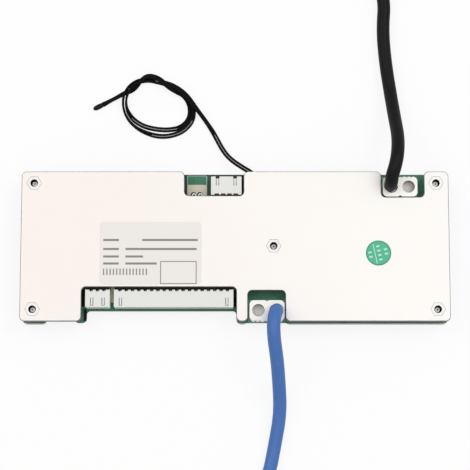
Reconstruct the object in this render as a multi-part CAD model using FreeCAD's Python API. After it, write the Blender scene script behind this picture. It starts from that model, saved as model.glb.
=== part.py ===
"""Battery management board with two aluminium plates, side-entry headers and soldered leads.

A long green circuit board lies between a thick front plate, which spreads the heat of the
power transistors, and a thinner back plate. Five screws from behind hold the stack in
threaded standoffs that are clinched flush into the front plate. Both plates are notched
where the cell sense headers, the communication header and the two solder terminals stand on
the board. One lead is soldered into each terminal, and a thin twin lead ends in the
temperature sensor's bead.

Units are millimetres. The origin is the middle of the back plate's underside. +X runs along
the length, +Y towards the edge with the communication header, +Z out of the front plate.
"""
import FreeCAD, Part
import math
import os

from FreeCAD import Placement, Rotation, Vector

# Plates
plate_length = 170.0
plate_width = 60.0
front_plate_thickness = 2.5
back_plate_thickness = 2.0
plate_corner_radius = 2.0
notch_inner_radius = 1.7

# Circuit board and the gaps on its two sides
board_thickness = 1.6
board_edge_inset = 0.1
board_inner_radius = 1.4
back_gap = 2.4
front_gap = 4.5
insulation_thickness = 0.3
insulation_inset = 0.5

# Screws, clinched standoffs and spacers
screw_end_inset = 5.0
screw_side_inset = 4.75
middle_screw_from_left = 100.3
screw_length = 12.0
screw_shank_diameter = 2.9
screw_head_diameter = 5.5
screw_head_sunk = 0.1
screw_recess_width = 0.7
screw_recess_span = 2.8
screw_recess_depth = 1.0
screw_hole_diameter = 3.2
countersink_clearance = 0.05
standoff_thread_diameter = 3.0
standoff_body_diameter = 4.2
standoff_hex_across_flats = 5.1
standoff_hex_height = 1.4
spacer_across_flats = 5.5

# Side-entry headers
pin_pitch = 2.5
pin_size = 0.64
pin_tip_setback = 1.2
pin_below_board = 1.3
spare_hole_diameter = 1.0
header_end_allowance = 2.35
header_depth = 7.4
header_height = 6.1
header_wall = 0.85
header_back_wall = 1.6
header_corner_radius = 0.4
comb_notch_width = 1.0
comb_notch_mouth_width = 2.1
comb_notch_depth = 1.15
pin_leg_from_back = 0.45
key_slot_width = 1.3
key_slot_length = 3.7
key_slot_inward = 0.25

# Header places: the sense headers open towards -Y, the communication header towards +Y.
# What lies left of the middle screw is placed from the plates' left end.
long_sense_pin_count = 18
short_sense_pin_count = 3
comm_pin_count = 4
spare_pin_count = 2
sense_row_end_from_left = 84.35
sense_headers_gap = 1.65
sense_mouth_inset = 5.7
comm_header_from_left = 81.5
comm_mouth_inset = 1.9
spare_footprint_from_comm = 11.7
sense_left_clearance = 1.45
sense_right_clearance = 1.15
comm_left_clearance = 1.3
comm_right_clearance = 0.8
header_back_clearance = 0.5
board_ahead_of_sense_mouth = 0.9

# Solder terminals
terminal_unit_width = 7.0
terminal_unit_pitch = 6.8
terminal_depth = 8.0
terminal_height = 6.5
terminal_corner_radius = 1.8
terminal_waist_width = 1.6
terminal_waist_depth = 0.5
terminal_waist_radius = 0.5
terminal_cup_radius = 2.45
terminal_cup_depth = 3.5
terminal_groove_pitch = 1.8
terminal_groove_width = 0.6
terminal_groove_depth = 0.4
terminal_groove_count = 6
terminal_left_clearance = 0.65
terminal_right_clearance = 0.35
upper_terminal_from_right = 19.25
upper_terminal_inset = 6.1
upper_terminal_floor_clearance = 0.25
upper_terminal_notch_spare = 2.2
lower_terminal_from_left = 97.6
lower_terminal_inset = 4.4
lower_terminal_floor_clearance = 3.8

# Recesses of the board and the back plate that the front plate doesn't have
board_tongue_proud = 1.65
board_tongue_width = 4.7
board_recess_width = 11.6
board_recess_depth = 3.0
back_cutout_beyond_pins = 3.0

# Leads
power_lead_diameter = 5.3
power_core_diameter = 3.4
lead_above_cup = 0.4
lead_above_floor = 0.05
lead_side_count = 10
solder_fill_below_rim = 0.7
tinned_end_length = 8.0
sensor_lead_width = 2.0
sensor_lead_thickness = 1.1
sensor_bead_diameter = 2.2
sensor_bead_length = 4.6
flat_lead_end_count = 3
bead_side_count = 10
bead_tip_length = 0.8
sensor_solder_radius = 0.45
sensor_solder_length = 1.4

# Loose coil of the sensor's lead
coil_from_exit_x = -38.2
coil_from_exit_y = 35.7
coil_outer_semi_x = 15.6
coil_outer_semi_y = 13.3
coil_band_x = 5.0
coil_band_y = 5.1
coil_height = 3.4

# Label and inspection sticker on the front plate
sticker_thickness = 0.1
label_length = 40.3
label_width = 25.0
label_corner_radius = 1.5
label_from_left = 51.55
label_above_notch = 1.0
sticker_diameter = 10.0
sticker_from_right = 28.2
sticker_y = -2.9

# Power transistors and their heat pads
transistors_in_row = 7
transistor_pitch = 7.6
transistor_row_end_inset = 14.0
transistor_row_y = (9.0, -11.0)
transistor_body_length = 6.6
transistor_body_width = 6.1
transistor_body_height = 2.3
transistor_tab_thickness = 0.5
transistor_tab_reach = 1.2
transistor_tab_width = 5.3
transistor_lead_width = 0.75
transistor_lead_reach = 2.6
transistor_lead_offset = 2.28
transistor_lead_thickness = 0.5
heat_pad_overhang = 1.5

# Shunt resistors, chips and small parts
shunt_count = 3
shunt_pitch = 3.9
shunt_first_from_left = 86.2
shunt_y = -1.5
shunt_size = (3.2, 6.4, 0.9)
controller_size = (7.0, 7.0, 0.9)
controller_from_left = 73.0
controller_y = 8.5
monitor_size = (7.0, 7.0, 0.9)
monitor_from_left = (38.0, 57.0)
monitor_y = 8.5
regulator_size = (5.0, 4.0, 1.1)
regulator_from_left = 17.0
regulator_y = 9.0
cell_count = 20
balance_resistor_size = (1.6, 3.2, 0.6)
balance_resistor_y = -4.4
filter_capacitor_size = (1.25, 2.0, 0.9)
filter_capacitor_y = -0.4

# Levels of the stack, from the back plate's underside up
back_plate_top = back_plate_thickness
board_bottom = back_plate_top + back_gap
board_top = board_bottom + board_thickness
front_plate_bottom = board_top + front_gap
front_plate_top = front_plate_bottom + front_plate_thickness

# Edges
plate_half_length = plate_length / 2
plate_half_width = plate_width / 2
board_half_length = plate_half_length - board_edge_inset
board_half_width = plate_half_width - board_edge_inset

# Places on the plates
sense_row_end_x = sense_row_end_from_left - plate_half_length
sense_mouth_y = sense_mouth_inset - plate_half_width
comm_header_x = comm_header_from_left - plate_half_length
comm_mouth_y = plate_half_width - comm_mouth_inset
spare_footprint_x = comm_header_x - spare_footprint_from_comm
upper_terminal_x = plate_half_length - upper_terminal_from_right
upper_terminal_y = plate_half_width - upper_terminal_inset
lower_terminal_x = lower_terminal_from_left - plate_half_length
lower_terminal_y = lower_terminal_inset - plate_half_width

# Free leads, as points of their routes. Each power lead rises out of its solder cup and bends
# over the board's edge, down to the surface that the part rests on: its points count from the
# cup's middle in X and Y. The sensor's lead counts from where it is soldered to the board.
cup_rim = board_top + terminal_height
cup_floor = cup_rim - terminal_cup_depth
power_lead_floor = power_lead_diameter / 2 + lead_above_floor
sensor_lead_floor = sensor_lead_thickness / 2 + lead_above_floor
sensor_exit_z = board_top + sensor_lead_thickness / 2 + lead_above_floor
sensor_exit_from_comm = 10.6
sensor_exit_inset = 6.8
sensor_exit_x = comm_header_x + sensor_exit_from_comm
sensor_exit_y = plate_half_width - sensor_exit_inset
black_lead_bends = [
    (-0.45, 0.5, cup_rim + lead_above_cup), (-0.45, 0.5, cup_rim + 4.5), (-0.4, 3.1, cup_rim + 7.7),
    (0.65, 7.0, cup_rim + 9.1), (1.9, 12.5, cup_rim + 8.1), (3.05, 19.7, cup_rim + 3.7),
    (2.65, 28.7, cup_rim - 2.7), (0.6, 40.1, power_lead_floor + 1.5), (-1.0, 53.1, power_lead_floor),
    (-2.0, 66.7, power_lead_floor), (-0.85, 80.5, power_lead_floor), (-6.15, 94.9, power_lead_floor),
    (-17.95, 105.7, power_lead_floor), (-33.75, 109.5, power_lead_floor),
    (-49.35, 108.7, power_lead_floor), (-61.35, 109.7, power_lead_floor),
]
blue_lead_bends = [
    (0.45, -0.1, cup_rim + lead_above_cup), (0.45, -0.1, cup_rim + 4.5), (0.1, -2.8, cup_rim + 7.7),
    (-1.2, -6.9, cup_rim + 9.1), (-0.8, -12.4, cup_rim + 8.1), (0.4, -19.6, cup_rim + 3.7),
    (1.3, -28.6, cup_rim - 2.7), (1.9, -40.0, power_lead_floor + 1.5), (-0.35, -52.8, power_lead_floor),
    (-2.9, -65.4, power_lead_floor), (-9.4, -78.0, power_lead_floor), (-21.2, -87.0, power_lead_floor),
    (-36.6, -90.2, power_lead_floor), (-52.6, -89.0, power_lead_floor),
    (-66.0, -90.0, power_lead_floor), (-78.6, -89.2, power_lead_floor),
]
sensor_lead_bends = [
    (0.0, 0.0, sensor_exit_z), (0.0, 3.6, sensor_exit_z), (-1.4, 7.4, sensor_exit_z + 0.2),
    (-5.3, 11.2, sensor_exit_z - 0.6), (-9.9, 15.6, sensor_lead_floor + 3.0),
    (-13.7, 21.0, sensor_lead_floor + 0.8), (-16.7, 26.4, sensor_lead_floor),
    (-19.7, 31.2, sensor_lead_floor),
]
sensor_tail_bends = [
    (-54.7, 39.7, 1.5), (-57.4, 38.5, sensor_bead_diameter / 2),
    (-60.1, 36.9, sensor_bead_diameter / 2),
]


def header_width(pins):
    """Outside width of a header with so many pins."""
    return (pins - 1) * pin_pitch + 2 * header_end_allowance


def from_place(points, x, y):
    """The points of a route, counted from a place in X and Y, as vectors."""
    return [Vector(point[0] + x, point[1] + y, point[2]) for point in points]


# Places that follow from the headers and the terminals
long_sense_x = sense_row_end_x - header_width(long_sense_pin_count) / 2
short_sense_x = (sense_row_end_x - header_width(long_sense_pin_count) - sense_headers_gap
                 - header_width(short_sense_pin_count) / 2)
sense_row_start_x = short_sense_x - header_width(short_sense_pin_count) / 2
terminal_width = terminal_unit_pitch + terminal_unit_width
black_cup_x = upper_terminal_x - terminal_unit_pitch / 2
blue_cup_x = lower_terminal_x + terminal_unit_pitch / 2
black_lead_route = from_place(black_lead_bends, black_cup_x, upper_terminal_y)
blue_lead_route = from_place(blue_lead_bends, blue_cup_x, lower_terminal_y)
sensor_lead_route = from_place(sensor_lead_bends, sensor_exit_x, sensor_exit_y)
sensor_tail_route = from_place(sensor_tail_bends, sensor_exit_x, sensor_exit_y)
coil_centre = Vector(sensor_exit_x + coil_from_exit_x, sensor_exit_y + coil_from_exit_y, 0)
transistor_last_x = plate_half_length - transistor_row_end_inset
power_transistor_centre_y = sum(transistor_row_y) / len(transistor_row_y)


class Notch:
    """A rectangular recess from one long edge: its two sides in X and its floor in Y."""

    def __init__(self, x_low, x_high, floor_y):
        self.x_low = x_low
        self.x_high = x_high
        self.floor_y = floor_y

    def shifted(self, low, high, floor):
        """The same recess with its sides and floor moved."""
        return Notch(self.x_low + low, self.x_high + high, self.floor_y + floor)


sense_notch = Notch(sense_row_start_x - sense_left_clearance,
                    sense_row_end_x + sense_right_clearance,
                    sense_mouth_y + header_depth + header_back_clearance)
lower_terminal_notch = Notch(lower_terminal_x - terminal_width / 2 - terminal_left_clearance,
                             lower_terminal_x + terminal_width / 2 + terminal_right_clearance,
                             lower_terminal_y + terminal_depth / 2 + lower_terminal_floor_clearance)
comm_notch = Notch(spare_footprint_x - header_width(spare_pin_count) / 2 - comm_left_clearance,
                   comm_header_x + header_width(comm_pin_count) / 2 + comm_right_clearance,
                   comm_mouth_y - header_depth - header_back_clearance)
upper_terminal_notch = Notch(upper_terminal_x - terminal_width / 2 - terminal_left_clearance,
                             upper_terminal_x + terminal_width / 2 + terminal_right_clearance
                             + upper_terminal_notch_spare,
                             upper_terminal_y - terminal_depth / 2 - upper_terminal_floor_clearance)


def box(x_low, x_high, y_low, y_high, z_low, z_high):
    """A box between two corners."""
    return Part.makeBox(x_high - x_low, y_high - y_low, z_high - z_low, Vector(x_low, y_low, z_low))


def centred_box(x, y, z_low, size):
    """A box of a given size that stands at a place, centred in X and Y."""
    length, width, height = size
    return Part.makeBox(length, width, height, Vector(x - length / 2, y - width / 2, z_low))


def disc(x, y, z_low, radius, height):
    """An upright cylinder."""
    return Part.makeCylinder(radius, height, Vector(x, y, z_low))


def rounded_prism(corners, z_low, height):
    """A prism on a closed outline whose corners are (x, y, radius). Radius 0 leaves one sharp."""
    edges = []
    starts = []
    ends = []
    middles = []
    count = len(corners)
    for i in range(count):
        before = Vector(*corners[i - 1][:2], z_low)
        here = Vector(*corners[i][:2], z_low)
        after = Vector(*corners[(i + 1) % count][:2], z_low)
        to_before = (before - here).normalize()
        to_after = (after - here).normalize()
        half_angle = to_before.getAngle(to_after) / 2
        shorter = min(before.distanceToPoint(here), after.distanceToPoint(here))
        setback = min(corners[i][2] / math.tan(half_angle), 0.49 * shorter)
        radius = setback * math.tan(half_angle)
        inward = (to_before + to_after).normalize()
        starts.append(here + to_before * setback)
        ends.append(here + to_after * setback)
        middles.append(here + inward * (radius / math.sin(half_angle) - radius))
    for i in range(count):
        edges.append(Part.LineSegment(ends[i - 1], starts[i]).toShape())
        if corners[i][2] > 0:
            edges.append(Part.Arc(starts[i], middles[i], ends[i]).toShape())
    return Part.Face(Part.Wire(edges)).extrude(Vector(0, 0, height))


def rounded_slab(x, y, length, width, radius, z_low, height):
    """A rectangular slab with round upright corners, centred at a place."""
    half_length = length / 2
    half_width = width / 2
    corners = [(x - half_length, y - half_width, radius), (x + half_length, y - half_width, radius),
               (x + half_length, y + half_width, radius), (x - half_length, y + half_width, radius)]
    return rounded_prism(corners, z_low, height)


def notched_slab(half_length, half_width, lower_notches, upper_notches, outer_radius, inner_radius,
                 z_low, height):
    """A slab with round corners and recesses along its lower and upper long edges."""
    corners = [(-half_length, -half_width, outer_radius)]
    for notch in lower_notches:
        corners += [(notch.x_low, -half_width, outer_radius), (notch.x_low, notch.floor_y, inner_radius),
                    (notch.x_high, notch.floor_y, inner_radius), (notch.x_high, -half_width, outer_radius)]
    corners += [(half_length, -half_width, outer_radius), (half_length, half_width, outer_radius)]
    for notch in reversed(upper_notches):
        corners += [(notch.x_high, half_width, outer_radius), (notch.x_high, notch.floor_y, inner_radius),
                    (notch.x_low, notch.floor_y, inner_radius), (notch.x_low, half_width, outer_radius)]
    corners.append((-half_length, half_width, outer_radius))
    return rounded_prism(corners, z_low, height)


def edges_at_height(shape, z):
    """All edges of a shape that lie flat at one height."""
    return [edge for edge in shape.Edges
            if abs(edge.BoundBox.ZMin - z) < 1e-6 and abs(edge.BoundBox.ZMax - z) < 1e-6]


def screw_places():
    """Centres of the five screws: the four corners and one beside the middle."""
    half_x = plate_half_length - screw_end_inset
    half_y = plate_half_width - screw_side_inset
    return [(-half_x, -half_y), (half_x, -half_y), (-half_x, half_y), (half_x, half_y),
            (middle_screw_from_left - plate_half_length, 0.0)]


def revolved(profile):
    """A solid turned about the Z axis from points given as (radius, height)."""
    points = [Vector(radius, 0, height) for radius, height in profile]
    face = Part.Face(Part.makePolygon(points + [points[0]]))
    return face.revolve(Vector(0, 0, 0), Vector(0, 0, 1), 360)


def hexagon_prism(across_flats, z_low, height):
    """A six-sided prism on the Z axis."""
    corner_radius = across_flats / math.sqrt(3)
    points = [Vector(corner_radius * math.cos(math.radians(60 * i)),
                     corner_radius * math.sin(math.radians(60 * i)), z_low) for i in range(7)]
    return Part.Face(Part.makePolygon(points)).extrude(Vector(0, 0, height))


def at_places(shape, places):
    """Copies of one shape at several places in X and Y."""
    return [shape.translated(Vector(x, y, 0)) for x, y in places]


# Plates


def front_plate():
    """Thick aluminium plate with four notches and the pockets of its clinched standoffs."""
    plate = notched_slab(plate_half_length, plate_half_width, [sense_notch, lower_terminal_notch],
                         [comm_notch, upper_terminal_notch], plate_corner_radius, notch_inner_radius,
                         front_plate_bottom, front_plate_thickness)
    pocket = hexagon_prism(standoff_hex_across_flats, front_plate_top - standoff_hex_height,
                           standoff_hex_height)
    hole = disc(0, 0, front_plate_bottom, standoff_body_diameter / 2, front_plate_thickness)
    return [plate.cut(at_places(pocket.fuse(hole), screw_places()))]


def back_notches():
    """The back plate's recesses under the headers' pins and the terminals."""
    pin_line = sense_mouth_y + header_depth
    sense = Notch(board_notches()[0].x_low, sense_notch.x_high, pin_line + back_cutout_beyond_pins)
    comm = comm_notch.shifted(0, 0, header_back_clearance - back_cutout_beyond_pins)
    return [sense, lower_terminal_notch], [comm, upper_terminal_notch]


def back_plate():
    """Thinner aluminium plate with countersunk holes for the screws."""
    lower, upper = back_notches()
    plate = notched_slab(plate_half_length, plate_half_width, lower, upper, plate_corner_radius,
                         notch_inner_radius, 0, back_plate_thickness)
    head_radius = screw_head_diameter / 2 + countersink_clearance
    hole_radius = screw_hole_diameter / 2
    depth = screw_head_sunk + head_radius - hole_radius
    countersink = revolved([(0, 0), (head_radius + screw_head_sunk, 0), (hole_radius, depth),
                            (hole_radius, back_plate_thickness), (0, back_plate_thickness)])
    return [plate.cut(at_places(countersink, screw_places()))]


def insulating_sheet():
    """Thin insulating film on the inside of the back plate, cut out round the spacers."""
    lower, upper = back_notches()
    lower = [notch.shifted(-insulation_inset, insulation_inset, insulation_inset) for notch in lower]
    upper = [notch.shifted(-insulation_inset, insulation_inset, -insulation_inset) for notch in upper]
    sheet = notched_slab(plate_half_length - insulation_inset, plate_half_width - insulation_inset,
                         lower, upper, 0, 0, back_plate_top, insulation_thickness)
    hole = hexagon_prism(spacer_across_flats + 2 * countersink_clearance, back_plate_top,
                         insulation_thickness)
    return [sheet.cut(at_places(hole, screw_places()))]


# Fasteners


def plate_standoffs():
    """Threaded standoffs, clinched flush into the front plate and reaching down to the board."""
    head = hexagon_prism(standoff_hex_across_flats, front_plate_top - standoff_hex_height,
                         standoff_hex_height)
    body = disc(0, 0, board_top, standoff_body_diameter / 2, front_plate_top - board_top)
    bore = disc(0, 0, board_top, standoff_thread_diameter / 2, front_plate_top - board_top)
    return at_places(head.fuse(body).removeSplitter().cut(bore), screw_places())


def board_screws():
    """Countersunk screws from behind, with a cross recess."""
    shank = screw_shank_diameter / 2
    head = screw_head_diameter / 2
    low = screw_head_sunk
    tip = low + screw_length
    screw = revolved([(0, low), (head, low), (shank, low + head - shank), (shank, tip), (0, tip)])
    span = screw_recess_span / 2
    width = screw_recess_width / 2
    recess = box(-span, span, -width, width, low, low + screw_recess_depth)
    recess = recess.fuse(box(-width, width, -span, span, low, low + screw_recess_depth))
    return at_places(screw.cut(recess), screw_places())


def back_spacers():
    """Hexagonal spacers between the back plate and the board."""
    outer = hexagon_prism(spacer_across_flats, back_plate_top, back_gap)
    bore = disc(0, 0, back_plate_top, screw_hole_diameter / 2, back_gap)
    return at_places(outer.cut(bore), screw_places())


# Circuit board


def board_notches():
    """The board's recesses along its lower edge, left and right of its tongue."""
    tongue_right = sense_notch.x_low + board_tongue_proud
    recess_right = tongue_right - board_tongue_width
    recess = Notch(recess_right - board_recess_width, recess_right, -board_half_width + board_recess_depth)
    sense = Notch(tongue_right, sense_notch.x_high, sense_mouth_y - board_ahead_of_sense_mouth)
    return [recess, sense]


def pin_offsets(pins):
    """Places of a header's pins along X, counted from its middle."""
    return [(i - (pins - 1) / 2) * pin_pitch for i in range(pins)]


def pin_leg_from_mouth():
    """Distance of a pin's upright leg from the header's mouth, to the leg's middle."""
    return header_depth - pin_leg_from_back


def header_holes(centre_x, mouth_y, inward, pins):
    """Holes for one header's soldered pins. inward is 1 or -1, from the mouth to the back.

    Solder fills each drilled hole round its pin and counts with the board, so what is left
    open is as wide as the pin.
    """
    y = mouth_y + inward * pin_leg_from_mouth()
    return [centred_box(centre_x + x, y, board_bottom, (pin_size, pin_size, board_thickness))
            for x in pin_offsets(pins)]


def spare_holes():
    """Drilled holes of the unused two-pin footprint beside the communication header."""
    y = comm_mouth_y - pin_leg_from_mouth()
    return [disc(spare_footprint_x + x, y, board_bottom, spare_hole_diameter / 2, board_thickness)
            for x in pin_offsets(spare_pin_count)]


def circuit_board():
    """The board itself, with its edge recesses and every drilled hole."""
    board = notched_slab(board_half_length, board_half_width, board_notches(), [], plate_corner_radius,
                         board_inner_radius, board_bottom, board_thickness)
    holes = at_places(disc(0, 0, board_bottom, screw_hole_diameter / 2, board_thickness), screw_places())
    holes += header_holes(long_sense_x, sense_mouth_y, 1, long_sense_pin_count)
    holes += header_holes(short_sense_x, sense_mouth_y, 1, short_sense_pin_count)
    holes += header_holes(comm_header_x, comm_mouth_y, -1, comm_pin_count)
    holes += spare_holes()
    return [board.cut(holes)]


# Side-entry headers, drawn with the mouth at y = 0 and the board's top at z = 0


def comb_notch(x):
    """The wedge-shaped notch behind one pin, which leaves pointed teeth between the notches."""
    floor_y = header_depth - comb_notch_depth
    corners = [(x - comb_notch_width / 2, floor_y, 0), (x + comb_notch_width / 2, floor_y, 0),
               (x + comb_notch_mouth_width / 2, header_depth, 0),
               (x - comb_notch_mouth_width / 2, header_depth, 0)]
    return rounded_prism(corners, 0, header_height)


def header_housing(pins):
    """Moulded shroud: open mouth, two key slots in its roof and a comb for the pins behind."""
    half = header_width(pins) / 2
    shell = rounded_slab(0, header_depth / 2, 2 * half, header_depth, header_corner_radius, 0, header_height)
    cavity = box(-half + header_wall, half - header_wall, 0, header_depth - header_back_wall,
                 header_wall, header_height - header_wall)
    cuts = [cavity]
    slot_x = pin_offsets(pins)[-1] - key_slot_inward
    for side in (-1, 1):
        centre = side * slot_x
        cuts.append(box(centre - key_slot_width / 2, centre + key_slot_width / 2, 0, key_slot_length,
                        header_height - header_wall, header_height))
    pin_z = header_height / 2
    for x in pin_offsets(pins):
        cuts.append(comb_notch(x))
        cuts.append(box(x - pin_size / 2, x + pin_size / 2, header_depth - header_back_wall, header_depth,
                        pin_z - pin_size / 2, pin_z + pin_size / 2))
    return shell.cut(cuts)


def header_pin():
    """One square pin, bent down behind the housing and through the board."""
    half = pin_size / 2
    leg = pin_leg_from_mouth()
    middle = header_height / 2
    foot = -board_thickness - pin_below_board
    outline = [(pin_tip_setback, middle - half), (leg - half, middle - half), (leg - half, foot),
               (leg + half, foot), (leg + half, middle), (leg, middle + half),
               (pin_tip_setback, middle + half)]
    points = [Vector(-half, y, z) for y, z in outline]
    return Part.Face(Part.makePolygon(points + [points[0]])).extrude(Vector(pin_size, 0, 0))


def on_board(shape, centre_x, mouth_y, inward):
    """Moves a piece of a header from its own frame to its place on the board."""
    if inward < 0:
        shape = shape.rotated(Vector(0, 0, 0), Vector(0, 0, 1), 180)
    return shape.translated(Vector(centre_x, mouth_y, board_top))


def header_set(centre_x, mouth_y, inward, pins):
    """A header's housing and its pins, as two lists of solids."""
    housing = [on_board(header_housing(pins), centre_x, mouth_y, inward)]
    pin = header_pin()
    legs = [on_board(pin.translated(Vector(x, 0, 0)), centre_x, mouth_y, inward) for x in pin_offsets(pins)]
    return housing, legs


# Solder terminals


def terminal_block(x, y, edge_side):
    """A waisted block with two solder cups and grooves on the side of the board's edge."""
    half_length = terminal_width / 2
    half_waist = terminal_waist_width / 2
    corners = []
    for side in (-1, 1):
        face = y + side * terminal_depth / 2
        corners += [(x + side * half_length, face, terminal_corner_radius),
                    (x + side * half_waist, face, terminal_waist_radius),
                    (x, face - side * terminal_waist_depth, 0),
                    (x - side * half_waist, face, terminal_waist_radius),
                    (x - side * half_length, face, terminal_corner_radius)]
    block = rounded_prism(corners, board_top, terminal_height)
    cup = disc(0, 0, cup_rim - terminal_cup_depth, terminal_cup_radius, terminal_cup_depth)
    cuts = at_places(cup, [(x + side * terminal_unit_pitch / 2, y) for side in (-1, 1)])
    face_y = y + edge_side * terminal_depth / 2
    inner_y = face_y - edge_side * terminal_groove_depth
    for i in range(terminal_groove_count):
        centre = x + (i - (terminal_groove_count - 1) / 2) * terminal_groove_pitch
        cuts.append(box(centre - terminal_groove_width / 2, centre + terminal_groove_width / 2,
                        min(face_y, inner_y), max(face_y, inner_y), board_top, cup_rim))
    return [block.cut(cuts)]


def strands(start, direction, length):
    """A length of a power lead's bare strands."""
    return Part.Face(round_lead_profile(start, direction, power_core_diameter / 2)).extrude(direction * length)


def lead_core(route):
    """The bare strands of a power lead, standing in its solder cup."""
    foot = Vector(route[0].x, route[0].y, cup_floor)
    return [strands(foot, Vector(0, 0, 1), route[0].z - cup_floor)]


def cup_solder(x, y, route):
    """The solder that fills a cup round the lead's strands."""
    fill = disc(x, y, cup_floor, terminal_cup_radius, terminal_cup_depth - solder_fill_below_rim)
    return [fill.cut(lead_core(route))]


# Leads


def route_edges(points, name):
    """Straight runs joined by tangent arcs, each arc as large as its two runs allow."""
    edges = []
    radii = []
    last = points[0]
    for before, here, after in zip(points[:-2], points[1:-1], points[2:]):
        incoming = here - before
        outgoing = after - here
        turn = incoming.getAngle(outgoing)
        setback = 0.45 * min(incoming.Length, outgoing.Length)
        radius = setback / math.tan(turn / 2)
        into = here - incoming.normalize() * setback
        out = here + outgoing.normalize() * setback
        inward = (into + out) * 0.5 - here
        bulge = radius / math.cos(turn / 2) - radius
        middle = here + inward.normalize() * bulge
        edges.append(Part.LineSegment(last, into).toShape())
        edges.append(Part.Arc(into, middle, out).toShape())
        radii.append(radius)
        last = out
    edges.append(Part.LineSegment(last, points[-1]).toShape())
    print(name, "arc radii", [round(radius, 1) for radius in radii])
    return edges


def swept(points, profile, name):
    """A solid lead: a profile wire, placed at the first point, carried along the route."""
    edges = route_edges(points, name)
    path = Part.Wire(edges)
    solid = path.makePipeShell([profile], True, False)
    section = Part.Face(profile).Area
    print(name, "length", round(path.Length, 1), "volume over section times length",
          round(solid.Volume / (section * path.Length), 4))
    return [solid]


def round_lead_profile(point, direction, radius, side_count=lead_side_count):
    """A round lead's section, as a regular outline with few sides across the route."""
    across = direction.cross(Vector(0.3, 0.2, 1) if abs(direction.x) > 0.5 else Vector(1, 0, 0)).normalize()
    other = direction.cross(across)
    points = []
    for i in range(side_count + 1):
        angle = 2 * math.pi * i / side_count
        points.append(point + (across * math.cos(angle) + other * math.sin(angle)) * radius)
    return Part.makePolygon(points)


def power_lead(route, name):
    """A round insulated lead along its route, starting straight up."""
    return swept(route, round_lead_profile(route[0], Vector(0, 0, 1), power_lead_diameter / 2), name)


def tinned_end(route):
    """The stripped and tinned strands at the free end of a power lead."""
    return [strands(route[-1], (route[-1] - route[-2]).normalize(), tinned_end_length)]


def flat_lead_profile(point, direction):
    """The twin lead's section across the route: flat above and below, with rounded sides."""
    side = Vector(0, 0, 1).cross(direction).normalize()
    up = direction.cross(side).normalize()
    radius = sensor_lead_thickness / 2
    half_flat = sensor_lead_width / 2 - radius
    points = []
    for end in (1, -1):
        for i in range(flat_lead_end_count + 1):
            angle = math.radians(90 - 180 * i / flat_lead_end_count)
            points.append(point + side * end * (half_flat + radius * math.cos(angle))
                          + up * end * radius * math.sin(angle))
    return Part.makePolygon(points + [points[0]])


def flat_lead(route, name):
    """A stretch of the sensor's twin lead."""
    return swept(route, flat_lead_profile(route[0], (route[1] - route[0]).normalize()), name)


def oval(semi_x, semi_y, height):
    """An upright oval prism about the coil's centre."""
    if semi_x >= semi_y:
        curve = Part.Ellipse(coil_centre, semi_x, semi_y)
    else:
        curve = Part.Ellipse(coil_centre + Vector(0, semi_y, 0), coil_centre + Vector(semi_x, 0, 0), coil_centre)
    return Part.Face(Part.Wire([curve.toShape()])).extrude(Vector(0, 0, height))


def coil_stub(end, direction, length):
    """A short stretch of the twin lead between the coil and the face where its route goes on."""
    return Part.Face(flat_lead_profile(end, direction)).extrude(direction * length)


def sensor_coil():
    """The outer shape of the sensor lead's loose turns, with the two stretches that leave it."""
    ring = oval(coil_outer_semi_x, coil_outer_semi_y, coil_height)
    ring = ring.cut(oval(coil_outer_semi_x - coil_band_x, coil_outer_semi_y - coil_band_y, coil_height))
    reach = coil_band_x
    arrival = (sensor_lead_route[-1] - sensor_lead_route[-2]).normalize()
    departure = (sensor_tail_route[0] - sensor_tail_route[1]).normalize()
    arriving = coil_stub(sensor_lead_route[-1], arrival, reach)
    leaving = coil_stub(sensor_tail_route[0], departure, reach)
    return [ring.fuse([arriving, leaving])]


def sensor_bead():
    """The epoxy bead round the sensor at the end of its lead."""
    start = sensor_tail_route[-1]
    direction = start - sensor_tail_route[-2]
    direction = Vector(direction.x, direction.y, 0).normalize()
    radius = sensor_bead_diameter / 2
    sections = []
    for along, share in ((0, 1), (sensor_bead_length - bead_tip_length, 1), (sensor_bead_length, 0.5)):
        sections.append(round_lead_profile(start + direction * along, direction, radius * share, bead_side_count))
    return [Part.makeLoft(sections, True, True)]


def sensor_solder():
    """Two drops of solder that join the sensor lead's cores to the board."""
    start = sensor_lead_route[0]
    half_flat = (sensor_lead_width - sensor_lead_thickness) / 2
    drops = []
    for side in (-1, 1):
        centre = Vector(start.x + side * half_flat, start.y, board_top)
        drop = Part.makeCylinder(sensor_solder_radius, sensor_solder_length, centre, Vector(0, -1, 0))
        drops.append(drop.common(centred_box(centre.x, centre.y, board_top,
                                             (2 * sensor_solder_radius, 2 * sensor_solder_length,
                                              2 * sensor_solder_radius))))
    return drops


# Label and sticker


def front_label():
    """Rectangular label on the front plate."""
    x = label_from_left - plate_half_length
    y = sense_notch.floor_y + label_above_notch + label_width / 2
    return [rounded_slab(x, y, label_length, label_width, label_corner_radius, front_plate_top,
                         sticker_thickness)]


def inspection_sticker():
    """Small round sticker on the front plate."""
    x = plate_half_length - sticker_from_right
    return [disc(x, sticker_y, front_plate_top, sticker_diameter / 2, sticker_thickness)]


# Parts on the board


def gull_lead(width, reach, thickness, rise):
    """A lead that leaves a part at height rise, steps down and lies flat on the board, along +X."""
    outline = [(0, rise), (reach * 0.45, rise), (reach * 0.45, thickness), (reach, thickness), (reach, 0),
               (reach * 0.45 - thickness, 0), (reach * 0.45 - thickness, rise - thickness),
               (0, rise - thickness)]
    points = [Vector(x, -width / 2, z) for x, z in outline]
    return Part.Face(Part.makePolygon(points + [points[0]])).extrude(Vector(0, width, 0))


def transistor_places():
    """Centres of the power transistors in their two rows, with the way their tabs point."""
    places = []
    for y in transistor_row_y:
        away = 1 if y > power_transistor_centre_y else -1
        places += [(transistor_last_x - i * transistor_pitch, y, away) for i in range(transistors_in_row)]
    return places


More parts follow.
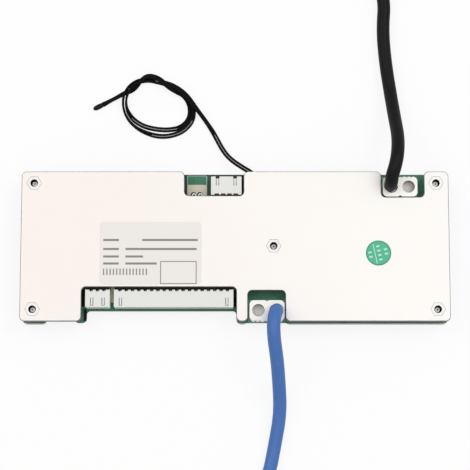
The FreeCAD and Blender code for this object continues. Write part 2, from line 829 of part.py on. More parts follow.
def transistor_bodies():
    """Moulded bodies of the power transistors, each standing on its tab."""
    bodies = []
    for x, y, away in transistor_places():
        body = centred_box(x, y, board_top, (transistor_body_length, transistor_body_width,
                                             transistor_body_height))
        tab = centred_box(x, y, board_top, (transistor_tab_width, transistor_body_width,
                                            transistor_tab_thickness))
        bodies.append(body.cut(tab))
    return bodies


def transistor_metal():
    """Tabs and leads of the power transistors."""
    metal = []
    lead = gull_lead(transistor_lead_width, transistor_lead_reach, transistor_lead_thickness,
                     transistor_body_height / 2)
    for x, y, away in transistor_places():
        length = transistor_body_width + transistor_tab_reach
        metal.append(centred_box(x, y + away * transistor_tab_reach / 2, board_top,
                                 (transistor_tab_width, length, transistor_tab_thickness)))
        for side in (-1, 1):
            foot = lead.rotated(Vector(0, 0, 0), Vector(0, 0, 1), -90 * away)
            metal.append(foot.translated(Vector(x + side * transistor_lead_offset,
                                                y - away * transistor_body_width / 2, board_top)))
    return metal


def heat_pads():
    """Soft pads that fill the gap between each row of transistors and the front plate."""
    low = board_top + transistor_body_height
    length = (transistors_in_row - 1) * transistor_pitch + transistor_body_length + 2 * heat_pad_overhang
    middle = transistor_last_x - (transistors_in_row - 1) * transistor_pitch / 2
    width = transistor_body_width + 2 * heat_pad_overhang
    return [centred_box(middle, y, low, (length, width, front_plate_bottom - low)) for y in transistor_row_y]


def chip(from_left, y, size):
    """A leadless chip, flat on the board, with chamfered upper edges."""
    body = centred_box(from_left - plate_half_length, y, board_top, size)
    return body.makeChamfer(size[2] / 8, edges_at_height(body, board_top + size[2]))


def cell_row(size, y):
    """One small part for each cell, in line with the long sense header's pins."""
    first = long_sense_x + pin_offsets(long_sense_pin_count)[-1] - (cell_count - 1) * pin_pitch
    return [centred_box(first + i * pin_pitch, y, board_top, size) for i in range(cell_count)]


def shunt_resistors():
    """Flat shunts that measure the pack's current."""
    first = shunt_first_from_left - plate_half_length
    return [centred_box(first + i * shunt_pitch, shunt_y, board_top, shunt_size) for i in range(shunt_count)]


def build_nodes():
    """Every node of the part by name, each a list of solids."""
    long_housing, long_legs = header_set(long_sense_x, sense_mouth_y, 1, long_sense_pin_count)
    short_housing, short_legs = header_set(short_sense_x, sense_mouth_y, 1, short_sense_pin_count)
    comm_housing, comm_legs = header_set(comm_header_x, comm_mouth_y, -1, comm_pin_count)
    return {
        "front_plate": front_plate(),
        "back_plate": back_plate(),
        "insulating_sheet": insulating_sheet(),
        "circuit_board": circuit_board(),
        "plate_standoffs": plate_standoffs(),
        "board_screws": board_screws(),
        "back_spacers": back_spacers(),
        "long_sense_header": long_housing,
        "long_sense_pins": long_legs,
        "short_sense_header": short_housing,
        "short_sense_pins": short_legs,
        "comm_header": comm_housing,
        "comm_pins": comm_legs,
        "upper_terminal": terminal_block(upper_terminal_x, upper_terminal_y, 1),
        "lower_terminal": terminal_block(lower_terminal_x, lower_terminal_y, -1),
        "black_lead_core": lead_core(black_lead_route),
        "blue_lead_core": lead_core(blue_lead_route),
        "black_lead_solder": cup_solder(black_cup_x, upper_terminal_y, black_lead_route),
        "blue_lead_solder": cup_solder(blue_cup_x, lower_terminal_y, blue_lead_route),
        "black_lead": power_lead(black_lead_route, "black lead"),
        "blue_lead": power_lead(blue_lead_route, "blue lead"),
        "black_lead_tinned_end": tinned_end(black_lead_route),
        "blue_lead_tinned_end": tinned_end(blue_lead_route),
        "sensor_solder": sensor_solder(),
        "sensor_lead": flat_lead(sensor_lead_route, "sensor lead"),
        "sensor_coil": sensor_coil(),
        "sensor_tail": flat_lead(sensor_tail_route, "sensor tail"),
        "sensor_bead": sensor_bead(),
        "front_label": front_label(),
        "inspection_sticker": inspection_sticker(),
        "transistor_bodies": transistor_bodies(),
        "transistor_metal": transistor_metal(),
        "heat_pads": heat_pads(),
        "shunt_resistors": shunt_resistors(),
        "controller_chip": [chip(controller_from_left, controller_y, controller_size)],
        "cell_monitor_chips": [chip(from_left, monitor_y, monitor_size) for from_left in monitor_from_left],
        "regulator_chip": [chip(regulator_from_left, regulator_y, regulator_size)],
        "balance_resistors": cell_row(balance_resistor_size, balance_resistor_y),
        "filter_capacitors": cell_row(filter_capacitor_size, filter_capacitor_y),
    }


def write_parts():
    """Writes one STEP file for each node."""
    os.makedirs("parts", exist_ok=True)
    for name, solids in build_nodes().items():
        shape = solids[0] if len(solids) == 1 else Part.makeCompound(solids)
        shape.exportStep(os.path.join("parts", name + ".step"))
        print(name, len(shape.Solids), "solids, valid", shape.isValid(), "volume", round(shape.Volume, 1))


write_parts()
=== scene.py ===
"""Looks of the battery management board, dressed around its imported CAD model.

Lengths are in metres, in the frame of the CAD model: +X along the plates, +Y towards the edge
with the communication header, +Z out of the front plate, and zero at the surface that the part
rests on. Places are read from the CAD nodes wherever one is there to be read.
"""
from __future__ import annotations

import logging
import math
from dataclasses import dataclass, field
from enum import Enum
from typing import Any, Callable, Mapping, Sequence

import bmesh
import bpy
from mathutils import Matrix, Vector
from mathutils.kdtree import KDTree

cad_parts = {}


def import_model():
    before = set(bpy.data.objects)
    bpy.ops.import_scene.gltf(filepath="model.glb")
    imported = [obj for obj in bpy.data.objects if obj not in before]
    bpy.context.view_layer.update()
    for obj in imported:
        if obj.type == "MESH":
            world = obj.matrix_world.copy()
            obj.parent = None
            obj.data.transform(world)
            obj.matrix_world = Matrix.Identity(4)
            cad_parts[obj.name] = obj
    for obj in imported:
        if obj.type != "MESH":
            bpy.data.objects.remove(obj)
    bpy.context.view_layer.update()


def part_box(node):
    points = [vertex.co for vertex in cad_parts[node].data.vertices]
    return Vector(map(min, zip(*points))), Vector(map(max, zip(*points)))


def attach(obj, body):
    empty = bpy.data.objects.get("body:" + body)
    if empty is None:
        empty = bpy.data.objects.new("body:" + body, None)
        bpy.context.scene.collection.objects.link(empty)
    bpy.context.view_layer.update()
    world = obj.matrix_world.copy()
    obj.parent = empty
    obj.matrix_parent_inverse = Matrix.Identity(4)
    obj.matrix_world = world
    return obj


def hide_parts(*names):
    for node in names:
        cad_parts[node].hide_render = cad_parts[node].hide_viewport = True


LOG = logging.getLogger("battery_board")
BODY = "root"
MM = 0.001
SAME = 0.01 * MM
MERGE_DISTANCE = 0.0005 * MM
SHARP = math.radians(30)
HALF_PIN = 0.32 * MM
HEAD_RADIUS = 2.75 * MM
CUP_OFFSET = 3.4 * MM
# Housing, pins, number of pins, and the way along Y that leads in from the mouth
HEADERS = (("long_sense_header", "long_sense_pins", 18, 1),
           ("short_sense_header", "short_sense_pins", 3, 1),
           ("comm_header", "comm_pins", 4, -1))
Colour = tuple[float, float, float]
Point = tuple[float, float, float]
Span = tuple[float, float]
TwistedPoint = tuple[float, float, float, float]
Corners = list[bmesh.types.BMVert]


# Shader graphs


class Value:
    """An output of a shader graph that can stand in sums, differences and products."""

    def __init__(self, graph: Graph, socket: bpy.types.NodeSocket) -> None:
        """Keeps the socket and the graph that it belongs to."""
        self.graph = graph
        self.socket = socket

    def __add__(self, other: Value | float) -> Value:
        """self + other."""
        return self.graph.maths("ADD", self, other)

    def __sub__(self, other: Value | float) -> Value:
        """self - other."""
        return self.graph.maths("SUBTRACT", self, other)

    def __rsub__(self, other: float) -> Value:
        """other - self."""
        return self.graph.maths("SUBTRACT", other, self)

    def __mul__(self, other: Value | float) -> Value:
        """self * other."""
        return self.graph.maths("MULTIPLY", self, other)

    __radd__ = __add__
    __rmul__ = __mul__


class Graph:
    """The nodes of a material or world, with short ways to add the ones that the finishes need."""

    def __init__(self, owner: bpy.types.Material | bpy.types.World) -> None:
        """Starts without nodes.

        Args:
            owner: The new material or world.
        """
        self.owner = owner
        owner.use_nodes = True
        self.tree = owner.node_tree
        self.tree.nodes.clear()

    def node(self, kind: str, settings: Mapping[str, Any] | None = None,
             sockets: Mapping[str | int, Any] | None = None, output: str | int = 0) -> Value:
        """Adds one node.

        Args:
            kind: The node's type.
            settings: Its properties, set first.
            sockets: Numbers, colours or links for its inputs.
            output: The output that is returned.

        Returns:
            The chosen output.
        """
        made = self.tree.nodes.new(kind)
        for name, setting in (settings or {}).items():
            setattr(made, name, setting)
        for name, given in (sockets or {}).items():
            if isinstance(given, Value):
                self.tree.links.new(given.socket, made.inputs[name])
            else:
                made.inputs[name].default_value = given
        return Value(self, made.outputs[output])

    def maths(self, operation: str, first: Value | float, second: Value | float) -> Value:
        """Adds a Math node on two numbers or links."""
        return self.node("ShaderNodeMath", {"operation": operation}, {0: first, 1: second})

    def place(self, scale: Point) -> Value:
        """Object coordinates, with each axis times its scale."""
        where = self.node("ShaderNodeTexCoord", output="Object")
        return self.node("ShaderNodeMapping", sockets={"Vector": where, "Scale": scale})

    def along(self, axis: int) -> Value:
        """One component of the object coordinates: 0, 1 or 2."""
        where = self.node("ShaderNodeTexCoord", output="Object")
        return self.node("ShaderNodeSeparateXYZ", sockets={"Vector": where}, output=axis)

    def noise(self, size: float, detail: float = 3.0, stretch: Point = (1.0, 1.0, 1.0)) -> Value:
        """Soft noise about 0.5 in patches of a size in metres, each axis stretched by its own factor."""
        scale = tuple(1.0 / (size * factor) for factor in stretch)
        return self.node("ShaderNodeTexNoise", {"normalize": True},
                         {"Vector": self.place(scale), "Scale": 1.0, "Detail": detail, "Roughness": 0.55})

    def cells(self, size: float, feature: str = "F1") -> Value:
        """The distance that a pattern of cells measures, for cells of a size in metres."""
        return self.node("ShaderNodeTexVoronoi", {"feature": feature},
                         {"Vector": self.place((1.0 / size,) * 3), "Scale": 1.0}, "Distance")

    def between(self, low: float, high: float, value: Value) -> Value:
        """A smooth step of value, from 0 at low to 1 at high."""
        return self.node("ShaderNodeMapRange", {"interpolation_type": "SMOOTHSTEP"},
                         {"Value": value, "From Min": low, "From Max": high})

    def mix(self, factor: Value | float, first: Value | Colour, second: Value | Colour) -> Value:
        """Blends two colours.

        Args:
            factor: 0 gives the first, 1 the second.
            first: A colour or a link.
            second: A colour or a link.

        Returns:
            The blended colour.
        """
        values = {6: first, 7: second}
        for name, colour in values.items():
            if not isinstance(colour, Value):
                values[name] = (*colour, 1.0)
        return self.node("ShaderNodeMix", {"data_type": "RGBA"}, {0: factor, **values}, 2)

    def bump(self, height: Value, depth: float) -> Value:
        """A normal from heights of 0 to 1, where 1 stands for a depth in metres."""
        return self.node("ShaderNodeBump", sockets={"Height": height, "Distance": depth, "Strength": 1.0})

    def close(self, shader: Value,
              kind: str = "ShaderNodeOutputMaterial") -> bpy.types.Material | bpy.types.World:
        """Links the last shader to the output.

        Args:
            shader: The shader.
            kind: The output node's type.

        Returns:
            The finished material or world.
        """
        output = self.tree.nodes.new(kind)
        self.tree.links.new(shader.socket, output.inputs["Surface"])
        return self.owner


# Finishes


def scaled(colour: Colour, factor: float) -> Colour:
    """A colour times a number."""
    return tuple(channel * factor for channel in colour)


@dataclass(frozen=True)
class Finish:
    """A finish whose colour and gloss drift a little, with a fine grain.

    Kinds of finish replace the methods for colour, gloss and height.
    """

    name: str
    colour: Colour
    roughness: float = 0.5
    metallic: float = 0.0
    coat: float = 0.0
    specular: float = 0.5
    drift: float = 0.06
    drift_size: float = 4 * MM
    grain_depth: float = 0.004 * MM
    grain_size: float = 0.25 * MM
    gloss_swing: float = 0.12
    coat_roughness: float = 0.12

    def tint(self, graph: Graph) -> Value:
        """The colour over the surface."""
        return graph.mix(graph.noise(self.drift_size), scaled(self.colour, 1 - self.drift), self.colour)

    def gloss(self, graph: Graph) -> Value:
        """The roughness over the surface."""
        return (graph.noise(self.drift_size * 0.4) - 0.5) * self.gloss_swing + self.roughness

    def height(self, graph: Graph) -> Value:
        """The height of the grain, from 0 to 1."""
        return graph.noise(self.grain_size, 2.0)

    def material(self) -> bpy.types.Material:
        """Builds the material, once for each name.

        Returns:
            The material.
        """
        name = self.name + "_finish"
        known = bpy.data.materials.get(name)
        if known is not None:
            return known
        graph = Graph(bpy.data.materials.new(name))
        sockets = {
            "Base Color": self.tint(graph),
            "Roughness": self.gloss(graph),
            "Metallic": self.metallic,
            "Coat Weight": self.coat,
            "Coat Roughness": self.coat_roughness,
            "Specular IOR Level": self.specular,
            "Normal": graph.bump(self.height(graph), self.grain_depth),
        }
        return graph.close(graph.node("ShaderNodeBsdfPrincipled", sockets=sockets))


@dataclass(frozen=True)
class RolledMetal(Finish):
    """Metal with faint streaks along its length from rolling and brushing."""

    streak: float = 0.05
    streak_length: float = 22 * MM
    streak_width: float = 0.35 * MM
    streak_gloss: float = 0.18
    # Painted light: a paler colour that comes in towards high X, and how far that change reaches
    painted_light_colour: Colour | None = None
    painted_light_reach: float = 60 * MM

    def streaks(self, graph: Graph) -> Value:
        """Fine lines along X."""
        return graph.noise(self.streak_width, 4.0, (self.streak_length / self.streak_width, 1.0, 1.0))

    def tint(self, graph: Graph) -> Value:
        """Pale patches under fine streaks, and painted light: the colour turns paler and less warm towards
        high X.
        """
        dark = scaled(self.colour, 1 - self.drift)
        bright = self.colour
        if self.painted_light_colour is not None:
            along = graph.between(-self.painted_light_reach, self.painted_light_reach, graph.along(0))
            bright = graph.mix(along, self.colour, self.painted_light_colour)
            dark = graph.mix(along, dark, scaled(self.painted_light_colour, 1 - self.drift))
        patched = graph.mix(graph.noise(self.drift_size), dark, bright)
        lines = graph.between(0.35, 0.65, self.streaks(graph)) * self.streak
        return graph.mix(lines, patched, scaled(self.colour, 0.8))

    def gloss(self, graph: Graph) -> Value:
        """Duller in the streaks."""
        return (self.streaks(graph) - 0.5) * self.streak_gloss + self.roughness

    def height(self, graph: Graph) -> Value:
        """Scored lines over a blasted grain."""
        return graph.noise(self.grain_size, 2.0) * 0.5 + self.streaks(graph) * 0.5


@dataclass(frozen=True)
class SolderMask(Finish):
    """Green solder mask over copper tracks, with small filled vias."""

    pour_colour: Colour = (0.055, 0.215, 0.13)
    gap_colour: Colour = (0.040, 0.155, 0.095)
    pour_size: float = 6.5 * MM
    via_pitch: float = 3.4 * MM

    def tracks(self, graph: Graph) -> Value:
        """1 on copper, 0 on bare laminate: wide pours with narrow gaps between them."""
        gap = graph.cells(self.pour_size, "DISTANCE_TO_EDGE")
        return graph.between(0.012, 0.03, gap)

    def vias(self, graph: Graph) -> Value:
        """1 in the middle of a via."""
        return graph.between(0.10, 0.07, graph.cells(self.via_pitch))

    def tint(self, graph: Graph) -> Value:
        """Lighter over copper, darker over bare laminate, with paler vias."""
        drifted = graph.mix(graph.noise(self.drift_size), self.colour, self.pour_colour)
        masked = graph.mix(self.tracks(graph), self.gap_colour, drifted)
        return graph.mix(self.vias(graph), masked, self.pour_colour)

    def height(self, graph: Graph) -> Value:
        """Copper stands a little proud."""
        return self.tracks(graph) * 0.8 + self.vias(graph) * 0.2


@dataclass(frozen=True)
class Laminate(Finish):
    """The sawn edge of the board, where layers of glass cloth show."""

    def tint(self, graph: Graph) -> Value:
        """Pale layers between darker resin."""
        layers = graph.noise(0.16 * MM, 2.0, (40.0, 40.0, 1.0))
        return graph.mix(graph.between(0.35, 0.65, layers), scaled(self.colour, 0.55), self.colour)


@dataclass(frozen=True)
class PlatedTin(Finish):
    """Tin plate over brass or copper, slightly uneven like a dipped surface."""

    def height(self, graph: Graph) -> Value:
        """Long soft dents under a fine grain."""
        return graph.noise(1.4 * MM, 1.0) * 0.8 + graph.noise(self.grain_size, 2.0) * 0.2


@dataclass(frozen=True)
class Sleeve(Finish):
    """Extruded insulation with paler rub marks and specks of dust on it."""

    rub_colour: Colour = (0.1, 0.1, 0.1)

    def tint(self, graph: Graph) -> Value:
        """Clean colour under the marks and the dust."""
        marks = graph.between(0.56, 0.72, graph.noise(2.2 * MM, 4.0, (1.0, 3.0, 1.0)))
        dust = graph.between(0.6, 0.8, graph.noise(0.5 * MM, 3.0))
        rubbed = graph.mix(marks * 0.35, self.colour, self.rub_colour)
        return graph.mix(dust * 0.25, rubbed, self.rub_colour)


# The front plate is painted paler towards high X, as painted light from the lamp on that side
FRONT_ALUMINIUM = RolledMetal("front_aluminium", (0.952, 0.889, 0.838), 0.5, 0.1, drift=0.02,
                              drift_size=18 * MM, grain_depth=0.0015 * MM, streak=0.04,
                              painted_light_colour=(0.962, 0.938, 0.905))
# Sawn plate edges, painted dark grey as the shade on the plates' sides
SHADED_PLATE_EDGE = RolledMetal("plate_cut_edge_painted_shade", (0.17, 0.172, 0.168), 0.5, 0.25, drift=0.12, streak=0.3)
BACK_ALUMINIUM = RolledMetal("back_aluminium", (0.80, 0.79, 0.77), 0.45, 0.55,
                             drift_size=12 * MM, streak=0.12)
BOARD_MASK = SolderMask("board_mask", (0.045, 0.175, 0.105), 0.42, specular=0.3, drift_size=7 * MM,
                        grain_depth=0.02 * MM)
# The board's sawn edge: glass-cloth layers, in a near-black colour that is painted shade
SHADED_BOARD_EDGE = Laminate("board_sawn_edge_painted_shade", (0.026, 0.036, 0.026), 0.8, grain_depth=0.02 * MM)
# Mask painted darker as shade in narrow gaps: deep, half and soft painted shade
SHADED_MASK = Finish("shaded_mask", (0.006, 0.014, 0.010), 0.7, specular=0.1, drift=0.2)
HALF_SHADE_MASK = Finish("mask_painted_half_shade", (0.022, 0.060, 0.040), 0.6, specular=0.2, drift=0.3,
                   drift_size=1.5 * MM)
SOFT_SHADE_MASK = Finish("mask_painted_soft_shade", (0.050, 0.100, 0.066), 0.6, specular=0.2, drift=0.35,
                   drift_size=1 * MM)
# Near black: the painted shadow that the front plate's edge casts on the sense headers
PLATE_EDGE_SHADOW = Finish("painted_plate_edge_shadow", (0.012, 0.011, 0.010), 0.7, specular=0.08, drift=0.3,
                      drift_size=1 * MM)
BACK_SHADE = Finish("back_shade", (0.10, 0.055, 0.04), 0.7, specular=0.2, drift=0.3,
                    drift_size=1 * MM)
BARE_LAMINATE = Finish("bare_laminate", (0.72, 0.67, 0.51), 0.6, drift=0.1, drift_size=1.5 * MM)
# A lighter copy of the bare laminate: painted light in the narrow gap between the sense headers
LIT_BARE_LAMINATE = Finish("bare_laminate_painted_light", (0.80, 0.78, 0.56), 0.6, drift=0.08, drift_size=1.5 * MM)
SCREEN_INK = Finish("screen_ink", (0.62, 0.68, 0.62), 0.6, drift=0.12, drift_size=0.6 * MM)
HEADER_NYLON = Finish("header_nylon", (0.81, 0.81, 0.775), 0.45, coat=0.08, drift=0.05, drift_size=3 * MM,
                      grain_depth=0.006 * MM)
SPACER_NYLON = Finish("spacer_nylon", (0.80, 0.79, 0.74), 0.5, drift=0.05)
INSULATING_FILM = Finish("insulating_film", (0.02, 0.022, 0.024), 0.55, drift=0.3, grain_depth=0.01 * MM)
TERMINAL_TIN = PlatedTin("terminal_tin", (0.90, 0.885, 0.835), 0.4, 0.3, drift=0.05, drift_size=2 * MM,
                         grain_depth=0.02 * MM)
CUP_FLOOR_TIN = PlatedTin("cup_floor_tin", (0.85, 0.815, 0.765), 0.5, 0.15, drift=0.12, drift_size=1 * MM,
                          grain_depth=0.03 * MM)
# Dark tin: painted shade on the walls of the cups and grooves
RECESS_SHADE_TIN = PlatedTin("tin_painted_recess_shade", (0.36, 0.335, 0.31), 0.5, 0.2, drift=0.12, drift_size=1 * MM)
PIN_TIN = PlatedTin("pin_tin", (0.80, 0.79, 0.76), 0.25, 0.95, drift=0.08, drift_size=1 * MM)
SOLDER = PlatedTin("solder", (0.72, 0.72, 0.71), 0.22, 0.95, drift=0.1, drift_size=1 * MM,
                   grain_depth=0.02 * MM)
ZINC_STEEL = RolledMetal("zinc_steel", (0.86, 0.85, 0.83), 0.42, 0.3, streak=0.1, streak_length=2 * MM)
# Near-black steel: painted shade in bores, recesses and gaps
PAINTED_RECESS_SHADE = Finish("steel_painted_recess_shade", (0.012, 0.013, 0.013), 0.6, 0.2, specular=0.2, drift=0.2)
STRAND_COPPER = PlatedTin("tinned_strands", (0.74, 0.62, 0.50), 0.28, 0.95, drift=0.25,
                          drift_size=0.8 * MM)
BLACK_SLEEVE = Sleeve("black_sleeve", (0.0075, 0.0075, 0.008), 0.5, specular=0.13, drift=0.1,
                      rub_colour=(0.018, 0.018, 0.018), grain_depth=0.006 * MM)
BLUE_SLEEVE = Sleeve("blue_sleeve", (0.062, 0.165, 0.46), 0.5, specular=0.35, drift=0.08,
                     rub_colour=(0.11, 0.24, 0.55), grain_depth=0.006 * MM)
SENSOR_SLEEVE = Sleeve("sensor_sleeve", (0.007, 0.007, 0.007), 0.65, specular=0.06, drift=0.1,
                       rub_colour=(0.014, 0.014, 0.014))
# Pale grey painted highlight along the groove between the sensor lead's wires
SENSOR_GROOVE_HIGHLIGHT = Finish("sensor_groove_painted_highlight", (0.36, 0.36, 0.35), 0.4, drift=0.25, drift_size=3 * MM)
BEAD_EPOXY = Finish("bead_epoxy", (0.008, 0.008, 0.009), 0.5, coat=0.03, specular=0.15,
                    grain_depth=0.02 * MM, grain_size=0.6 * MM)
LABEL_FILM = Finish("label_film", (0.87, 0.83, 0.795), 0.5, drift=0.03, drift_size=9 * MM)
LABEL_INK = Finish("label_ink", (0.29, 0.285, 0.27), 0.6, drift=0.3, drift_size=0.5 * MM)
STICKER_FILM = Finish("sticker_film", (0.075, 0.53, 0.31), 0.35, coat=0.1, drift=0.22,
                      drift_size=1.6 * MM)
STICKER_RIM = Finish("sticker_rim", (0.02, 0.24, 0.13), 0.45, drift=0.1, drift_size=1 * MM)
STICKER_INK = Finish("sticker_ink", (0.52, 0.84, 0.68), 0.5, drift=0.1, drift_size=0.5 * MM)
PACKAGE_BLACK = Finish("package_black", (0.018, 0.018, 0.019), 0.6, drift=0.25, grain_depth=0.01 * MM)
HEAT_PAD = Finish("heat_pad", (0.30, 0.36, 0.44), 0.8, drift=0.1, grain_depth=0.02 * MM)
SHUNT_ALLOY = RolledMetal("shunt_alloy", (0.34, 0.30, 0.26), 0.4, 0.8, drift=0.1)
CERAMIC = Finish("capacitor_ceramic", (0.42, 0.27, 0.13), 0.5, drift=0.1, drift_size=0.6 * MM)


# Meshes


def linked(name: str, data: bpy.types.ID) -> bpy.types.Object:
    """A new object in the scene.

    Args:
        name: Its name.
        data: Its mesh, curve, lamp or camera.

    Returns:
        The object.
    """
    made = bpy.data.objects.new(name, data)
    bpy.context.scene.collection.objects.link(made)
    return made


def is_level(edge: bmesh.types.BMEdge) -> bool:
    """Whether both ends of an edge are at the same height."""
    return abs(edge.verts[0].co.z - edge.verts[1].co.z) < SAME


class Shading(Enum):
    """How the faces of a piece meet: an edge is sharp from this angle in degrees."""

    FLAT = 0.0
    CREASED = 35.0
    ROUND = 80.0


class Piece:
    """A mesh piece of the part while it is modelled, and its hand-over to the frame."""

    def __init__(self, name: str, finishes: Sequence[Finish]) -> None:
        """Starts an empty piece.

        Args:
            name: The piece's name.
            finishes: Its finishes, in the order of its material slots.
        """
        self.name = name
        self.finishes = list(finishes)
        self.form = bmesh.new()

    def take(self, node: str) -> Piece:
        """Adds a merged copy of a CAD node's mesh, with its flat faces whole again.

        Args:
            node: The CAD node's name.

        Returns:
            The piece itself.
        """
        self.form.from_mesh(bpy.data.objects[node].data)
        bmesh.ops.remove_doubles(self.form, verts=self.form.verts, dist=MERGE_DISTANCE)
        bmesh.ops.dissolve_limit(self.form, angle_limit=math.radians(0.5), verts=self.form.verts,
                                 edges=self.form.edges)
        return self

    def box(self, x: Span, y: Span, z: Span, finish: int = 0) -> Corners:
        """Adds a box.

        Args:
            x: Its lowest and highest place along X.
            y: The same along Y.
            z: The same along Z.
            finish: Material slot of its faces.

        Returns:
            Its corners.
        """
        low, high = (Vector(corner) for corner in zip(x, y, z))
        place = Matrix.Translation((low + high) / 2) @ Matrix.Diagonal((*(high - low), 1.0))
        made = bmesh.ops.create_cube(self.form, size=1.0, matrix=place)
        return self.dressed(made["verts"], finish)

    def turned(self, profile: Sequence[Span], foot: Vector, sides: int = 32, finish: int = 0) -> Corners:
        """Adds a shape turned about an upright axis.

        Args:
            profile: (radius, height) pairs from one end to the other.
            foot: Where the axis has height zero.
            sides: Steps of the turn.
            finish: Material slot of its faces.

        Returns:
            Its vertices.
        """
        before = set(self.form.verts)
        line = [self.form.verts.new(foot + Vector((radius, 0, height))) for radius, height in profile]
        edges = [self.form.edges.new(pair) for pair in zip(line, line[1:])]
        bmesh.ops.spin(self.form, geom=line + edges, cent=foot, axis=(0, 0, 1), angle=math.tau,
                       steps=sides, use_merge=True, use_duplicate=False)
        made = [vert for vert in self.form.verts if vert not in before]
        bmesh.ops.remove_doubles(self.form, verts=made, dist=MERGE_DISTANCE)
        made = [vert for vert in self.form.verts if vert not in before]
        faces = {face for vert in made for face in vert.link_faces}
        bmesh.ops.recalc_face_normals(self.form, faces=list(faces))
        return self.dressed(made, finish)

    def dressed(self, verts: Sequence[bmesh.types.BMVert], finish: int) -> Corners:
        """Gives the faces between vertices a material slot, and returns the vertices."""
        for face in {face for vert in verts for face in vert.link_faces}:
            face.material_index = finish
        return list(verts)

    def stand(self, foot: Vector, direction: Vector) -> Piece:
        """Turns all of the piece from upright to a direction, and moves it.

        Args:
            foot: Where its origin goes.
            direction: Where its upright axis points.

        Returns:
            The piece itself.
        """
        turn = direction.to_track_quat("Z", "Y").to_matrix().to_4x4()
        bmesh.ops.transform(self.form, matrix=Matrix.Translation(foot) @ turn, verts=self.form.verts)
        return self

    def soften(self, width: float, segments: int = 2,
               chosen: Callable[[bmesh.types.BMEdge], bool] | None = None, clamped: bool = True) -> Piece:
        """Rounds the sharp edges.

        Args:
            width: Width of the rounding.
            segments: Faces across it.
            chosen: Picks among the sharp edges; all of them without it.
            clamped: Whether roundings that would meet are kept apart.

        Returns:
            The piece itself.
        """
        edges = [edge for edge in self.form.edges
                 if len(edge.link_faces) == 2 and edge.calc_face_angle(0.0) > SHARP
                 and (chosen is None or chosen(edge))]
        bmesh.ops.bevel(self.form, geom=edges, offset=width, offset_type="OFFSET", segments=segments,
                        profile=0.5, affect="EDGES", clamp_overlap=clamped, material=-1)
        return self

    def paint(self, finish: int, chosen: Callable[[bmesh.types.BMFace], bool]) -> Piece:
        """Gives some faces another material slot.

        Args:
            finish: The slot.
            chosen: Picks the faces.

        Returns:
            The piece itself.
        """
        self.form.normal_update()
        for face in self.form.faces:
            if chosen(face):
                face.material_index = finish
        return self

    def done(self, slot: str, shading: Shading = Shading.CREASED,
             replaced: Sequence[str] = ()) -> bpy.types.Object:
        """Makes the object and hands it to the frame.

        Args:
            slot: The record's material slot; not used.
            shading: How the faces meet.
            replaced: CAD nodes that it stands for.

        Returns:
            The object.
        """
        mesh = bpy.data.meshes.new(self.name)
        self.form.to_mesh(mesh)
        self.form.free()
        for finish in self.finishes:
            mesh.materials.append(finish.material())
        smooth = shading is not Shading.FLAT
        mesh.polygons.foreach_set("use_smooth", [smooth] * len(mesh.polygons))
        if smooth:
            mesh.set_sharp_from_angle(angle=math.radians(shading.value))
        made = linked(self.name, mesh)
        if shading is Shading.CREASED:
            even = made.modifiers.new("even_normals", "WEIGHTED_NORMAL")
            even.keep_sharp = True
        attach(made, BODY)
        if replaced:
            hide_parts(*replaced)
        LOG.info("%s: %d faces", self.name, len(mesh.polygons))
        return made


def centre_of(node: str) -> Vector:
    """Middle of a CAD node's box."""
    low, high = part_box(node)
    return (low + high) / 2


def pin_places(pins: str, count: int) -> list[float]:
    """Places of a header's pins along X.

    Args:
        pins: Their CAD node.
        count: How many there are.

    Returns:
        The X of each pin's axis.
    """
    low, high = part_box(pins)
    step = (high.x - low.x - 2 * HALF_PIN) / (count - 1)
    return [low.x + HALF_PIN + i * step for i in range(count)]


def length_of(line: Sequence[Vector]) -> float:
    """Length along a line's points."""
    return sum((after - before).length for before, after in zip(line, line[1:]))


def softened_copy(name: str, node: str, finish: Finish, slot: str, rounding: float,
                  segments: int = 2, shading: Shading = Shading.CREASED) -> None:
    """Makes the piece that stands for a CAD node by rounding its edges."""
    Piece(name, [finish]).take(node).soften(rounding, segments).done(slot, shading, [node])


# The stack of plates


